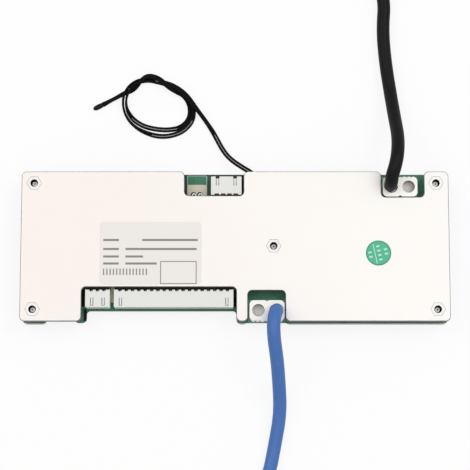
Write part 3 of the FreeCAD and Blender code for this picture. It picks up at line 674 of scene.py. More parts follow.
@dataclass
class PlateStack:
    """The two aluminium plates, the film, the spacers and the screws with their standoffs."""

    screw_places: Sequence[Span]
    pocket_reach: float = 3.6 * MM
    outer_rounding: float = 0.5 * MM
    hex_rounding: float = 0.09 * MM
    edge_rounding: float = 0.2 * MM
    bore_radius: float = 1.5 * MM
    bore_turns: int = 4
    thread_pitch: float = 0.5 * MM
    thread_depth: float = 0.16 * MM
    shank_radius: float = 1.4 * MM
    tip_radius: float = 1.05 * MM
    tip_recess: float = 1.6 * MM
    cross_arm: float = 1.35 * MM
    cross_half_width: float = 0.32 * MM
    sides: int = 28

    def from_screw(self, place: Vector) -> float:
        """How far a place is from the nearest screw's axis."""
        return min(math.hypot(place.x - x, place.y - y) for x, y in self.screw_places)

    def in_pocket(self, edge: bmesh.types.BMEdge) -> bool:
        """Whether an edge belongs to a screw's pocket and not to the plate's outline."""
        return self.from_screw((edge.verts[0].co + edge.verts[1].co) / 2) < self.pocket_reach

    def front(self) -> None:
        """The front plate: rounded outline, crisp pockets, and sawn edges painted dark as shade."""
        plate = Piece("front_plate_satin", [FRONT_ALUMINIUM, SHADED_PLATE_EDGE]).take("front_plate")
        plate.soften(self.hex_rounding, 1, self.in_pocket)
        plate.soften(self.outer_rounding, 3,
                     lambda edge: is_level(edge) and not self.in_pocket(edge), False)
        # Painted shade: the side faces and roundings get the dark edge finish
        plate.paint(1, lambda face: abs(face.normal.z) < 0.9)
        plate.done("front_aluminium", replaced=["front_plate"])

    def back(self) -> None:
        """The back plate with broken edges, its sides painted dark as shade."""
        plate = Piece("back_plate_satin", [BACK_ALUMINIUM, SHADED_PLATE_EDGE]).take("back_plate")
        plate.soften(self.edge_rounding, 2, is_level)
        # Painted shade on the side faces
        plate.paint(1, lambda face: abs(face.normal.z) < 0.5)
        plate.done("back_aluminium", replaced=["back_plate"])

    def film_and_spacers(self) -> None:
        """The insulating film inside the back plate, and the moulded spacers."""
        Piece("insulating_film_cut", [INSULATING_FILM]).take("insulating_sheet").done(
            "insulating_film", replaced=["insulating_sheet"])
        softened_copy("moulded_spacers", "back_spacers", SPACER_NYLON, "spacer_nylon", 0.15 * MM)

    def standoffs(self) -> None:
        """Clinched standoffs: a flush hexagon, a countersunk mouth and a threaded bore painted dark as shade.
        """
        low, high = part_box("plate_standoffs")
        piece = Piece("clinched_standoffs", [ZINC_STEEL, PAINTED_RECESS_SHADE]).take("plate_standoffs")
        piece.paint(1, lambda face: abs(face.normal.z) < 0.3
                    and self.from_screw(face.calc_center_median()) < self.bore_radius * 1.01)
        piece.soften(0.08 * MM, 1)
        profile = []
        for i in range(self.bore_turns):
            rise = high.z - low.z - 0.3 * MM - i * self.thread_pitch
            profile += [(self.bore_radius - 0.01 * MM, rise),
                        (self.bore_radius - self.thread_depth / 2, rise - self.thread_pitch / 2)]
        for x, y in self.screw_places:
            piece.turned(profile, Vector((x, y, low.z)), self.sides, 1)
        piece.done("steel", replaced=["plate_standoffs"])

    def screws(self) -> None:
        """Countersunk screws with a cross in the head, rolled threads and a cupped tip; the cross, the taper
        before the tip and the tip's middle are painted dark as shade.
        """
        low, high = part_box("board_screws")
        length = high.z - low.z - self.tip_recess
        root, crest = self.shank_radius - 0.12 * MM, self.shank_radius + 0.02 * MM
        neck, shoulder = length - 0.95 * MM, length - 0.12 * MM
        taper = HEAD_RADIUS - self.shank_radius
        shaft = [(0.0, 1.0 * MM), (0.35 * MM, 0.95 * MM), (0.5 * MM, 0.0), (HEAD_RADIUS - 0.15 * MM, 0.0),
                 (HEAD_RADIUS - 0.02 * MM, 0.1 * MM), (self.shank_radius + 0.04 * MM, taper)]
        rise = taper + 0.3 * MM
        while rise < length - 1.3 * MM:
            shaft += [(root, rise), (crest, rise + self.thread_pitch / 2)]
            rise += self.thread_pitch
        # Slot 1 is painted shade: the taper before the tip and the tip's middle
        turned_parts = (
            (shaft + [(root, neck)], 0),
            ([(root, neck), (self.tip_radius, shoulder)], 1),
            ([(self.tip_radius, shoulder), (0.95 * MM, length), (0.3 * MM, length)], 0),
            ([(0.3 * MM, length), (0.2 * MM, length - 0.2 * MM), (0.0, length - 0.25 * MM)], 1),
        )
        arm, side = self.cross_arm, self.cross_half_width
        piece = Piece("countersunk_screws", [ZINC_STEEL, PAINTED_RECESS_SHADE])
        for x, y in self.screw_places:
            for profile, finish in turned_parts:
                piece.turned(profile, Vector((x, y, low.z)), self.sides, finish)
            # The cross in the head is a thin box painted dark as shade
            for reach_x, reach_y in ((arm, side), (side, arm)):
                piece.box((x - reach_x, x + reach_x), (y - reach_y, y + reach_y),
                          (low.z - 0.02 * MM, low.z + 0.05 * MM), 1)
        piece.done("steel", replaced=["board_screws"])

    def build(self) -> None:
        """Builds the whole stack."""
        self.front()
        self.back()
        self.film_and_spacers()
        self.standoffs()
        self.screws()


# The circuit board


@dataclass
class BoardFace:
    """The board with its mask, sawn edges, bare footprint, printed outlines and solder joints, and painted
    shade in its narrow gaps.
    """

    ink_width: float = 0.18 * MM
    ink_height: float = 0.02 * MM
    bare_height: float = 0.03 * MM
    strip_height: float = 0.02 * MM
    bare_x: Span = (-19.1 * MM, -11.5 * MM)
    bare_y: Span = (17.0 * MM, 25.7 * MM)
    holes: Span = (-16.45 * MM, -13.95 * MM)
    holes_behind: float = 0.62 * MM
    window: float = 0.65 * MM
    strip_y: Span = (-21.9 * MM, -15.6 * MM)
    shade_shift: float = 0.17 * MM
    outlines: Sequence[tuple[Span, Span]] = (
        ((-19.2 * MM, -11.3 * MM), (25.6 * MM, 29.5 * MM)),
        ((-19.2 * MM, -11.3 * MM), (17.0 * MM, 25.6 * MM)),
        ((58.6 * MM, 73.0 * MM), (19.5 * MM, 28.6 * MM)),
        ((5.4 * MM, 19.8 * MM), (-29.75 * MM, -20.9 * MM)),
    )
    joint_radius: float = 0.85 * MM
    joint_height: float = 1.1 * MM

    def board(self) -> None:
        """The board itself, with sawn edges painted near black as shade."""
        piece = Piece("masked_board", [BOARD_MASK, SHADED_BOARD_EDGE]).take("circuit_board")
        piece.paint(1, lambda face: abs(face.normal.z) < 0.5)
        piece.done("board_laminate", Shading.CREASED, ["circuit_board"])

    def bare_places(self, top: float) -> None:
        """The unfitted two-pin header's place with its pads and a painted shadow ring beside each, and a bare
        strip between two headers in a lighter copy of the bare laminate, as painted light.

        Args:
            top: Height of the board's face.
        """
        bare = Piece("bare_footprint", [BARE_LAMINATE, TERMINAL_TIN, LIT_BARE_LAMINATE, SHADED_MASK])
        height = (top, top + self.bare_height)
        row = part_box("comm_pins")[0].y + self.holes_behind
        front, back = row - self.window, row + self.window
        for y in ((self.bare_y[0], front), (back, self.bare_y[1])):
            bare.box(self.bare_x, y, height)
        windows = [hole + side for hole in self.holes for side in (-self.window, self.window)]
        sides = [self.bare_x[0], *windows, self.bare_x[1]]
        for x in zip(sides[::2], sides[1::2]):
            bare.box(x, (front, back), height)
        pad = [(0.5 * MM, 0.0), (0.52 * MM, 0.07 * MM), (0.88 * MM, 0.09 * MM), (0.95 * MM, 0.03 * MM)]
        shade = [(0.6 * MM, self.bare_height * 1.4), (1.2 * MM, self.bare_height * 1.4)]
        for x in self.holes:
            bare.turned(pad, Vector((x, row, top)), 24, 1)
            # Painted shadow: a dark ring under each pad, shifted to its upper left
            bare.turned(shade, Vector((x - self.shade_shift, row + self.shade_shift, top)), 24, 3)
        between = (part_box("short_sense_header")[1].x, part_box("long_sense_header")[0].x)
        # Painted light: the strip between the sense headers is the lighter copy of the bare laminate
        bare.box(between, self.strip_y, height, 2)
        bare.done("board_laminate")

    def shaded_strips(self, top: float) -> None:
        """Painted shade: darker mask in the narrow gaps round the headers and along the notch walls.

        Args:
            top: Height of the board's face.
        """
        strips = Piece("shaded_gap_strips", [SHADED_MASK, HALF_SHADE_MASK, SOFT_SHADE_MASK])
        short_low, short_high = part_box("short_sense_header")
        long_low, long_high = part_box("long_sense_header")
        comm_low, comm_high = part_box("comm_header")
        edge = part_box("circuit_board")[1].y
        rim = edge - 0.4 * MM
        behind = short_high.y - 1.3 * MM
        beside = (comm_low.y - 0.5 * MM, rim)
        left, right = short_low.x - 1.9 * MM, long_high.x + 1.6 * MM
        comm_left, comm_right = -20.6 * MM, comm_high.x + 1.3 * MM
        for x, y, finish in (
            ((left, short_high.x), (behind, short_high.y + 0.9 * MM), 0),
            ((long_low.x, right), (behind, long_high.y + 0.9 * MM), 0),
            ((left, short_low.x), (short_low.y + 0.8 * MM, behind), 0),
            ((long_high.x, right), (long_low.y + 0.8 * MM, behind), 0),
            ((-60.15 * MM, -59.0 * MM), (-29.3 * MM, -24.4 * MM), 0),
            ((comm_left, -19.35 * MM), beside, 1),
            ((comm_high.x, comm_right), beside, 0),
            ((-11.1 * MM, comm_low.x), beside, 2),
            ((comm_low.x - 0.1 * MM, comm_high.x), (comm_high.y - 0.3 * MM, rim), 1),
            ((comm_left, comm_right), (rim, edge), 1),
        ):
            strips.box(x, y, (top, top + self.strip_height), finish)
        strips.done("board_laminate", Shading.FLAT)

    def print_outlines(self, top: float) -> None:
        """Printed rectangles round the places of parts.

        Args:
            top: Height of the board's face.
        """
        ink = Piece("printed_outlines", [SCREEN_INK])
        width = self.ink_width
        for x, y in self.outlines:
            for line_x, line_y in ((x, (y[0], y[0] + width)), (x, (y[1] - width, y[1])),
                                   ((x[0], x[0] + width), y), ((x[1] - width, x[1]), y)):
                ink.box(line_x, line_y, (top, top + self.ink_height))
        ink.done("board_laminate", Shading.FLAT)

    def joints(self) -> None:
        """Solder cones where each header pin comes through the board."""
        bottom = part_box("circuit_board")[0].z
        piece = Piece("pin_solder_joints", [SOLDER])
        profile = [(self.joint_radius, 0.0), (self.joint_radius * 0.98, -0.06 * MM),
                   (self.joint_radius * 0.62, -0.42 * MM), (self.joint_radius * 0.5, -0.8 * MM),
                   (HALF_PIN, -self.joint_height), (0.0, -self.joint_height - 0.05 * MM)]
        for _, pins, count, inward in HEADERS:
            low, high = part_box(pins)
            y = high.y - HALF_PIN if inward > 0 else low.y + HALF_PIN
            for x in pin_places(pins, count):
                piece.turned(profile, Vector((x, y, bottom)), 14)
        piece.done("solder", Shading.ROUND)

    def build(self) -> None:
        """Builds the board and what is printed and soldered on it."""
        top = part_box("circuit_board")[1].z
        self.board()
        self.bare_places(top)
        self.shaded_strips(top)
        self.print_outlines(top)
        self.joints()


# Headers and terminals


@dataclass
class SideEntryHeader:
    """A moulded side-entry header with its square pins.

    Each comb filler has half its width, its front and back counted from the housing's edge, its
    drop from the top, and its material slot.
    """

    housing: str
    pins: str
    pin_count: int
    inward: int
    mould_rounding: float = 0.11 * MM
    wall: float = 0.85 * MM
    slot_width: float = 1.3 * MM
    slot_length: float = 3.7 * MM
    slot_inward: float = 0.25 * MM
    tongue_width: float = 0.66 * MM
    bridge_length: float = 0.55 * MM
    shadow_strip_width: float = 0.5 * MM
    comb_foot: float = 0.1 * MM
    comb_fillers: Sequence[tuple[float, float, float, float, int]] = (
        (0.9 * MM, 0.53 * MM, 1.25 * MM, 0.03 * MM, 0),
        # The second filler is painted shade: a brownish dark block at the back of each notch
        (0.85 * MM, 0.02 * MM, 0.55 * MM, 0.5 * MM, 3),
    )

    def back_shadow_strip(self, piece: Piece) -> None:
        """A dark strip along the back edge of a sense header: the painted shadow of the front plate's edge.
        """
        low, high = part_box(self.housing)
        piece.box((low.x + 0.15 * MM, high.x - 0.15 * MM), (high.y - self.shadow_strip_width, high.y + 0.05 * MM),
                  (high.z - 0.2 * MM, high.z + 0.06 * MM), 1)

    def shallow_comb(self, piece: Piece) -> None:
        """Fills the communication header's notches, which are shallower than the CAD node's, and paints shade
        at the back of each.

        Args:
            piece: The housing.
        """
        low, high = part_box(self.housing)
        for x in pin_places(self.pins, self.pin_count):
            for half, front, back, drop, finish in self.comb_fillers:
                piece.box((x - half, x + half), (low.y + front, low.y + back),
                          (low.z + self.comb_foot, high.z - drop), finish)

    def tongues(self, piece: Piece) -> None:
        """A springy tongue in each key slot, and what closes the slot at the mouth: a nylon bridge, or on the
        communication header a dark box painted as the shade in the slot's mouth.

        Args:
            piece: The housing.
        """
        low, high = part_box(self.housing)
        mouth = low.y if self.inward > 0 else high.y
        tongue = (self.tongue_width, self.bridge_length + 0.3 * MM, self.slot_length + 0.1 * MM, 0.06 * MM, 0)
        if self.inward > 0:
            bridge = (self.slot_width, 0.0, self.bridge_length, 0.02 * MM, 0)
        else:
            # Painted shade: a dark mask-coloured box in the slot's mouth
            bridge = (self.slot_width + 0.3 * MM, -0.01 * MM, self.bridge_length, -0.01 * MM, 2)
        places = pin_places(self.pins, self.pin_count)
        for x in (places[0] + self.slot_inward, places[-1] - self.slot_inward):
            for width, start, end, drop, finish in (tongue, bridge):
                y = tuple(sorted((mouth + self.inward * start, mouth + self.inward * end)))
                piece.box((x - width / 2, x + width / 2), y, (high.z - self.wall, high.z - drop), finish)

    def build(self) -> None:
        """Builds the housing and the pins."""
        piece = Piece(self.housing + "_moulding", [HEADER_NYLON, PLATE_EDGE_SHADOW, HALF_SHADE_MASK, BACK_SHADE])
        piece.take(self.housing).soften(self.mould_rounding)
        self.tongues(piece)
        # Sense headers get a painted shadow strip along their back edge
        if self.inward > 0:
            self.back_shadow_strip(piece)
        else:
            self.shallow_comb(piece)
        piece.done("header_nylon", replaced=[self.housing])
        softened_copy(self.pins + "_plated", self.pins, PIN_TIN, "pin_metal", 0.05 * MM, 1)


@dataclass
class SolderTerminal:
    """A tinned block with two solder cups and a grooved outer side."""

    node: str
    cup_radius: float = 2.45 * MM
    rim_width: float = 0.32 * MM
    groove_depth: float = 0.22 * MM
    groove_inset: float = 2 * MM
    groove_wall: Span = (0.05 * MM, 0.45 * MM)
    groove_margin: float = 0.6 * MM
    filler_back: float = 1.3 * MM
    filler_foot: float = 0.3 * MM
    longest_step: float = 1.3 * MM
    rounding: float = 0.13 * MM

    def build(self) -> None:
        """Builds the block, with its cup walls, the rims of the cup floors and the groove walls painted dark
        as shade.
        """
        low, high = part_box(self.node)
        middle = centre_of(self.node)
        inward = 1 if middle.y < 0 else -1
        outer = low.y if inward > 0 else high.y
        grooved = (low.x + self.groove_inset, high.x - self.groove_inset)

        def in_cup(face: bmesh.types.BMFace) -> bool:
            """Whether a face is the wall or the floor of a cup."""
            place = face.calc_center_median()
            away = min(math.hypot(place.x - middle.x - side, place.y - middle.y)
                       for side in (-CUP_OFFSET, CUP_OFFSET))
            return low.z + 1 * MM < place.z < high.z - 0.2 * MM and away < self.cup_radius * 1.01

        def in_groove(face: bmesh.types.BMFace) -> bool:
            """Whether a face is the wall of a groove."""
            place = face.calc_center_median()
            return (abs(face.normal.z) < 0.3 and grooved[0] < place.x < grooved[1]
                    and self.groove_wall[0] < abs(place.y - outer) < self.groove_wall[1])

        def is_rounded(edge: bmesh.types.BMEdge) -> bool:
            """Whether an edge is away from the grooves or a long level one along the outer side."""
            start, end = (vert.co for vert in edge.verts)
            return (abs((start.y + end.y) / 2 - outer) > self.groove_margin or is_level(edge)
                    and abs(start.y - end.y) < SAME and (start - end).length > self.longest_step)

        piece = Piece(self.node + "_tinned", [TERMINAL_TIN, CUP_FLOOR_TIN, RECESS_SHADE_TIN]).take(self.node)
        # Painted shade on cup walls, cup floors and groove walls; the floors' middles then get the floor tin
        piece.paint(2, lambda face: in_cup(face) or in_groove(face)).soften(self.rounding, 2, is_rounded)
        piece.form.normal_update()
        floors = [face for face in piece.form.faces if in_cup(face) and face.normal.z > 0.9]
        bmesh.ops.inset_region(piece.form, faces=floors, thickness=self.rim_width, use_boundary=True)
        for face in floors:
            face.material_index = 1
        y = tuple(sorted((outer + inward * self.groove_depth, outer + inward * self.filler_back)))
        piece.box(grooved, y, (low.z + self.filler_foot, high.z - 0.02 * MM))
        piece.done("terminal_metal", replaced=[self.node])


# Leads


def route_curve(name: str, points: Sequence[Vector], finish: Finish,
                twists: Sequence[float] = ()) -> bpy.types.Object:
    """A smooth curve on a route's points.

    Args:
        name: The curve's name.
        points: The route's points.
        finish: Its finish.
        twists: How far a flat lead is turned on edge at each point, in degrees.

    Returns:
        The curve object, not yet thick.
    """
    data = bpy.data.curves.new(name, "CURVE")
    data.dimensions = "3D"
    data.resolution_u = 16
    data.bevel_resolution = 6
    data.use_fill_caps = True
    data.twist_mode = "Z_UP"
    spline = data.splines.new("NURBS")
    spline.points.add(len(points) - 1)
    for place, point in zip(spline.points, points):
        place.co = (*point, 1.0)
    for place, twist in zip(spline.points, twists):
        place.tilt = math.radians(twist)
    spline.order_u = 3
    spline.use_endpoint_u = True
    data.materials.append(finish.material())
    return linked(name, data)


def line_of(curve: bpy.types.Object) -> list[Vector]:
    """Points along a curve's own smooth line.

    Args:
        curve: A curve object with no thickness yet.

    Returns:
        The points from start to end.
    """
    bpy.context.view_layer.update()
    mesh = bpy.data.meshes.new_from_object(curve)
    points = [vertex.co.copy() for vertex in mesh.vertices]
    bpy.data.meshes.remove(mesh)
    return points


@dataclass
class PowerLead:
    """A thick insulated lead: sleeve, strands in the solder cup and a tinned free end."""

    colour: str
    cup: Vector
    bends: Sequence[Point]
    finish: Finish
    diameter: float = 5.3 * MM
    core_diameter: float = 3.4 * MM
    strand_counts: tuple[int, int] = (12, 5)
    strand_twist: float = 1.1
    strand_steps: int = 10
    bare_length: float = 8.0 * MM
    overlap: float = 0.4 * MM

    def route(self) -> list[Vector]:
        """The route's points, counted from the middle of the cup in X and Y."""
        return [Vector((x + self.cup.x, y + self.cup.y, z)) for x, y, z in self.bends]

    def bundle(self, name: str, start: Vector, direction: Vector, length: float,
               replaced: Sequence[str]) -> bpy.types.Object:
        """Twisted strands around a straight line.

        Args:
            name: The piece's name.
            start: Where they start.
            direction: Which way they run.
            length: How far.
            replaced: CAD nodes that they stand for.

        Returns:
            The piece.
        """
        piece = Piece(name, [STRAND_COPPER])
        radius = self.core_diameter / 2
        thin = radius * 0.34
        last = self.strand_steps
        for away, count in zip((radius - thin, radius * 0.36), self.strand_counts):
            for i in range(count):
                rings = []
                for step in range(last + 1):
                    angle = math.tau * i / count + self.strand_twist * step / last
                    middle = Vector((away * math.cos(angle), away * math.sin(angle), length * step / last))
                    ring = bmesh.ops.create_circle(piece.form, cap_ends=step in (0, last), segments=7,
                                                   radius=thin, matrix=Matrix.Translation(middle))
                    rings.append(ring["verts"])
                for pair in zip(rings, rings[1:]):
                    edges = [edge for verts in pair for vert in verts for edge in vert.link_edges
                             if edge.other_vert(vert) in verts]
                    bmesh.ops.bridge_loops(piece.form, edges=list(dict.fromkeys(edges)))
        bmesh.ops.recalc_face_normals(piece.form, faces=piece.form.faces)
        return piece.stand(start, direction).done("copper_strand", Shading.ROUND, replaced)

    def solder(self) -> None:
        """The fillet of solder that climbs from the cup's wall to the strands."""
        node = self.colour + "_lead_solder"
        low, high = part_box(node)
        radius = (high.x - low.x) / 2
        depth = high.z - low.z
        foot = centre_of(node)
        foot.z = low.z
        profile = [(0.0, 0.0), (radius - 0.02 * MM, 0.0), (radius - 0.02 * MM, depth + 0.35 * MM),
                   (radius * 0.9, depth - 0.05 * MM), (radius * 0.76, depth - 0.1 * MM),
                   (radius * 0.6, depth + 0.25 * MM), (0.0, depth + 0.4 * MM)]
        piece = Piece(node + "_fillet", [SOLDER])
        piece.turned(profile, foot, 40)
        piece.done("solder", Shading.ROUND, [node])

    def build(self) -> None:
        points = self.route()
        name = self.colour + "_lead"
        sleeve = route_curve(name + "_sleeve", points, self.finish)
        line = line_of(sleeve)
        sleeve.data.bevel_depth = self.diameter / 2
        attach(sleeve, BODY)
        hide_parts(name)
        foot = Vector((points[0].x, points[0].y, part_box(name + "_core")[0].z))
        self.bundle(name + "_soldered_strands", foot, Vector((0, 0, 1)), points[0].z - foot.z + 0.3 * MM,
                    [name + "_core"])
        self.solder()
        direction = (line[-1] - line[-2]).normalized()
        tip = self.bundle(name + "_tinned_strands", line[-1] - direction * self.overlap, direction,
                          self.bare_length + self.overlap, [name + "_tinned_end"])
        LOG.info("%s lead is %.1f mm long", self.colour, length_of(line) / MM)


@dataclass
class SensorLead:
    """The thin twin lead of the temperature sensor, its loose turns and its bead.

    A point of the two ends is (x, y, z, twist), counted from the lead's exit in X and Y. A point of
    the turns is (angle, radius, z, twist) about the middle of the coil. Lengths are in metres and
    angles in degrees, and a twist of 90 puts the lead on edge.
    """

    exit: Vector
    arriving: Sequence[TwistedPoint]
    turns: Sequence[TwistedPoint]
    leaving: Sequence[TwistedPoint]
    coil_middle: Vector = field(default_factory=lambda: Vector((-31.1 * MM, 59.0 * MM, 0.0)))
    width: float = 2.1 * MM
    wire_radius: float = 0.47 * MM
    wire_steps: int = 10
    wire_arc: float = 320.0
    # How far the painted highlight reaches from the lead's middle, and the stretches that carry it
    highlight_reach: float = 0.52
    highlight_stretches: Sequence[Span] = ((0.0, 0.13), (0.37, 0.48), (0.63, 0.74))

    def from_exit(self, points: Sequence[TwistedPoint]) -> list[Vector]:
        """Points counted from the lead's exit in X and Y."""
        return [Vector((x + self.exit.x, y + self.exit.y, z)) for x, y, z, _ in points]

    def coil(self) -> list[Vector]:
        """The points of the loose turns."""
        points = []
        for angle, radius, z, _ in self.turns:
            points.append(self.coil_middle + Vector((radius * math.cos(math.radians(angle)),
                                                     radius * math.sin(math.radians(angle)), z)))
        return points

    def section(self) -> bpy.types.Object:
        """The lead's outline: two round cores side by side, joined by a thin web.

        Returns:
            The curve that thickens the lead.
        """
        offset = self.width / 2 - self.wire_radius
        outline = []
        for side in (0.0, math.pi):
            for i in range(self.wire_steps):
                angle = math.radians(self.wire_arc * (i / (self.wire_steps - 1) - 0.5)) + side
                outline.append((math.copysign(offset, 1 - side) + self.wire_radius * math.cos(angle),
                                self.wire_radius * math.sin(angle), 0.0))
        data = bpy.data.curves.new("twin_lead_section", "CURVE")
        spline = data.splines.new("POLY")
        spline.points.add(len(outline) - 1)
        for place, point in zip(spline.points, outline):
            place.co = (*point, 1.0)
        spline.use_cyclic_u = True
        return linked("twin_lead_section", data)

    def paint_groove_highlight(self, mesh: bpy.types.Mesh, line: Sequence[Vector]) -> None:
        """Gives the second finish, a painted highlight, to the faces of the web between the two wires that
        face up or down, in the listed stretches of the lead.

        Args:
            mesh: The swept lead.
            line: Points along its middle.
        """
        mesh.materials.append(SENSOR_GROOVE_HIGHLIGHT.material())
        tree = KDTree(len(line))
        for i, point in enumerate(line):
            tree.insert(point, i)
        tree.balance()
        reach = self.wire_radius * self.highlight_reach
        for face in mesh.polygons:
            _, index, _ = tree.find(face.center)
            near = max(1, min(index, len(line) - 2))
            along = (line[near + 1] - line[near - 1]).normalized()
            offset = face.center - line[index]
            # The painted highlight shows only in the listed stretches
            seen = any(start <= index / len(line) <= end for start, end in self.highlight_stretches)
            beside = (offset - along * offset.dot(along)).length
            if (seen and beside < reach and abs(face.normal.dot(along)) < 0.7
                    and abs(face.normal.z) > 0.86):
                face.material_index = 1

    def bead(self, start: Vector, direction: Vector) -> bpy.types.Object:
        """The dipped bead round the sensor.

        Args:
            start: The end of the lead.
            direction: The way it points.

        Returns:
            The piece.
        """
        low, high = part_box("sensor_bead")
        radius = (high.z - low.z) / 2
        profile = [(0.0, 0.0), (radius * 0.72, 0.1 * MM), (radius * 0.92, 0.7 * MM), (radius, 1.6 * MM),
                   (radius * 0.99, 2.9 * MM), (radius * 0.85, 3.8 * MM), (radius * 0.5, 4.4 * MM),
                   (0.0, 4.6 * MM)]
        piece = Piece("sensor_bead_dipped", [BEAD_EPOXY])
        piece.turned(profile, Vector(), 28)
        return piece.stand(start, direction).done("bead_epoxy", Shading.ROUND, ["sensor_bead"])

    def build(self) -> None:
        points = self.from_exit(self.arriving) + self.coil() + self.from_exit(self.leaving)
        twists = [point[-1] for point in (*self.arriving, *self.turns, *self.leaving)]
        lead = route_curve("sensor_twin_lead", points, SENSOR_SLEEVE, twists)
        lead.data.resolution_u = 8
        line = line_of(lead)
        section = self.section()
        lead.data.bevel_mode = "OBJECT"
        lead.data.bevel_object = section
        bpy.context.view_layer.update()
        mesh = bpy.data.meshes.new_from_object(lead.evaluated_get(bpy.context.evaluated_depsgraph_get()))
        mesh.name = "sensor_twin_lead_mesh"
        bpy.data.objects.remove(lead)
        bpy.data.objects.remove(section)
        tube = linked("sensor_twin_lead", mesh)
        mesh.polygons.foreach_set("use_smooth", [True] * len(mesh.polygons))
        self.paint_groove_highlight(mesh, line)
        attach(tube, BODY)
        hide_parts("sensor_lead", "sensor_coil", "sensor_tail")
        direction = (line[-1] - line[-2]).normalized()
        bead = self.bead(line[-1] - direction * 0.3 * MM, direction)
        softened_copy("sensor_solder_drops", "sensor_solder", SOLDER, "solder", 0.12 * MM, 2, Shading.ROUND)
        LOG.info("sensor lead is %.1f mm long", length_of(line) / MM)


# Label and sticker


@dataclass
class FrontMarks:
    """The label with a blank form on it, and the round sticker with plain strokes.

    Places on the label are counted from its upper left corner, a bar's as its drop, left end and
    right end, and those on the sticker from its middle in parts of its radius. Nothing is written
    on either.
    """

    film_rounding: float = 0.03 * MM
    ink_height: float = 0.012 * MM
    line_width: float = 0.36 * MM
    bar_height: float = 0.85 * MM
    bars: Sequence[tuple[float, float, float]] = (
        (7.3 * MM, 1.4 * MM, 7.6 * MM), (7.3 * MM, 16.8 * MM, 38.8 * MM), (10.9 * MM, 1.4 * MM, 7.6 * MM),
        (10.9 * MM, 10.2 * MM, 38.4 * MM), (13.9 * MM, 1.4 * MM, 7.6 * MM), (13.9 * MM, 10.2 * MM, 17.2 * MM),
        (16.7 * MM, 1.4 * MM, 7.6 * MM), (16.7 * MM, 10.2 * MM, 22.6 * MM),
    )
    tick_start: float = 1.4 * MM
    tick_width: float = 0.5 * MM
    tick_drop: float = 20.0 * MM
    tick_height: float = 2.6 * MM
    tick_pitch: float = 1.3 * MM
    tick_count: int = 14
    frame_sides: Span = (24.0 * MM, 38.4 * MM)
    frame_drops: Span = (15.9 * MM, 24.7 * MM)
    rim: Span = (0.92, 0.99)
    sticker_turn: float = math.radians(12)
    ruled: tuple[Span, Span] = ((-0.31, -0.25), (-0.80, 0.80))
    stroke_columns: Sequence[tuple[float, int]] = ((-0.66, 2), (0.06, 4), (0.60, 2))
    stroke_pitch: float = 0.36
    stroke_reach: Span = (0.13, 0.07)

    def label(self) -> None:
        """The label with a ruled form on it."""
        low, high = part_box("front_label")
        softened_copy("blank_label", "front_label", LABEL_FILM, "label_film", self.film_rounding, 1)
        ink = Piece("ruled_lines", [LABEL_INK])

        def mark(left: float, right: float, drop: float, height: float) -> None:
            """One bar, placed from the label's upper left corner."""
            middle = high.y - drop
            ink.box((low.x + left, low.x + right), (middle - height / 2, middle + height / 2),
                    (high.z, high.z + self.ink_height))

        for drop, left, right in self.bars:
            mark(left, right, drop, self.bar_height)
        for i in range(self.tick_count):
            left = self.tick_start + i * self.tick_pitch
            mark(left, left + self.tick_width, self.tick_drop, self.tick_height)
        left, right = self.frame_sides
        upper, lower = self.frame_drops
        for drop in self.frame_drops:
            mark(left, right, drop, self.line_width)
        for side in (left, right - self.line_width):
            mark(side, side + self.line_width, (upper + lower) / 2, lower - upper - self.line_width)
        ink.done("label_film", Shading.FLAT)

    def sticker(self) -> None:
        """The round sticker: a darker rim, one ruled line and plain short strokes."""
        low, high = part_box("inspection_sticker")
        middle = centre_of("inspection_sticker")
        middle.z = high.z
        radius = (high.x - low.x) / 2
        softened_copy("round_sticker", "inspection_sticker", STICKER_FILM, "green_sticker",
                      self.film_rounding, 1)
        ring = Piece("sticker_marks", [STICKER_INK, STICKER_RIM])
        inner, outer = (radius * part for part in self.rim)
        ring.turned([(inner, 0.0), (inner, self.ink_height), (outer, self.ink_height), (outer, 0.0)],
                    middle, 56, 1)
        marks = [self.ruled]
        for column, count in self.stroke_columns:
            for i in range(count):
                row = (i - (count - 1) / 2) * self.stroke_pitch
                marks.append(tuple((place - reach, place + reach)
                                   for place, reach in zip((column, row), self.stroke_reach)))
        turn = (Matrix.Translation(middle) @ Matrix.Rotation(self.sticker_turn, 4, "Z")
                @ Matrix.Translation(-middle))
        for x, y in marks:
            corners = ring.box((middle.x + x[0] * radius, middle.x + x[1] * radius),
                               (middle.y + y[0] * radius, middle.y + y[1] * radius),
                               (high.z, high.z + self.ink_height))
            bmesh.ops.transform(ring.form, matrix=turn, verts=corners)
        ring.done("green_sticker")

    def build(self) -> None:
        """Builds the label and the sticker."""
        self.label()
        self.sticker()


# Electronics under the front plate


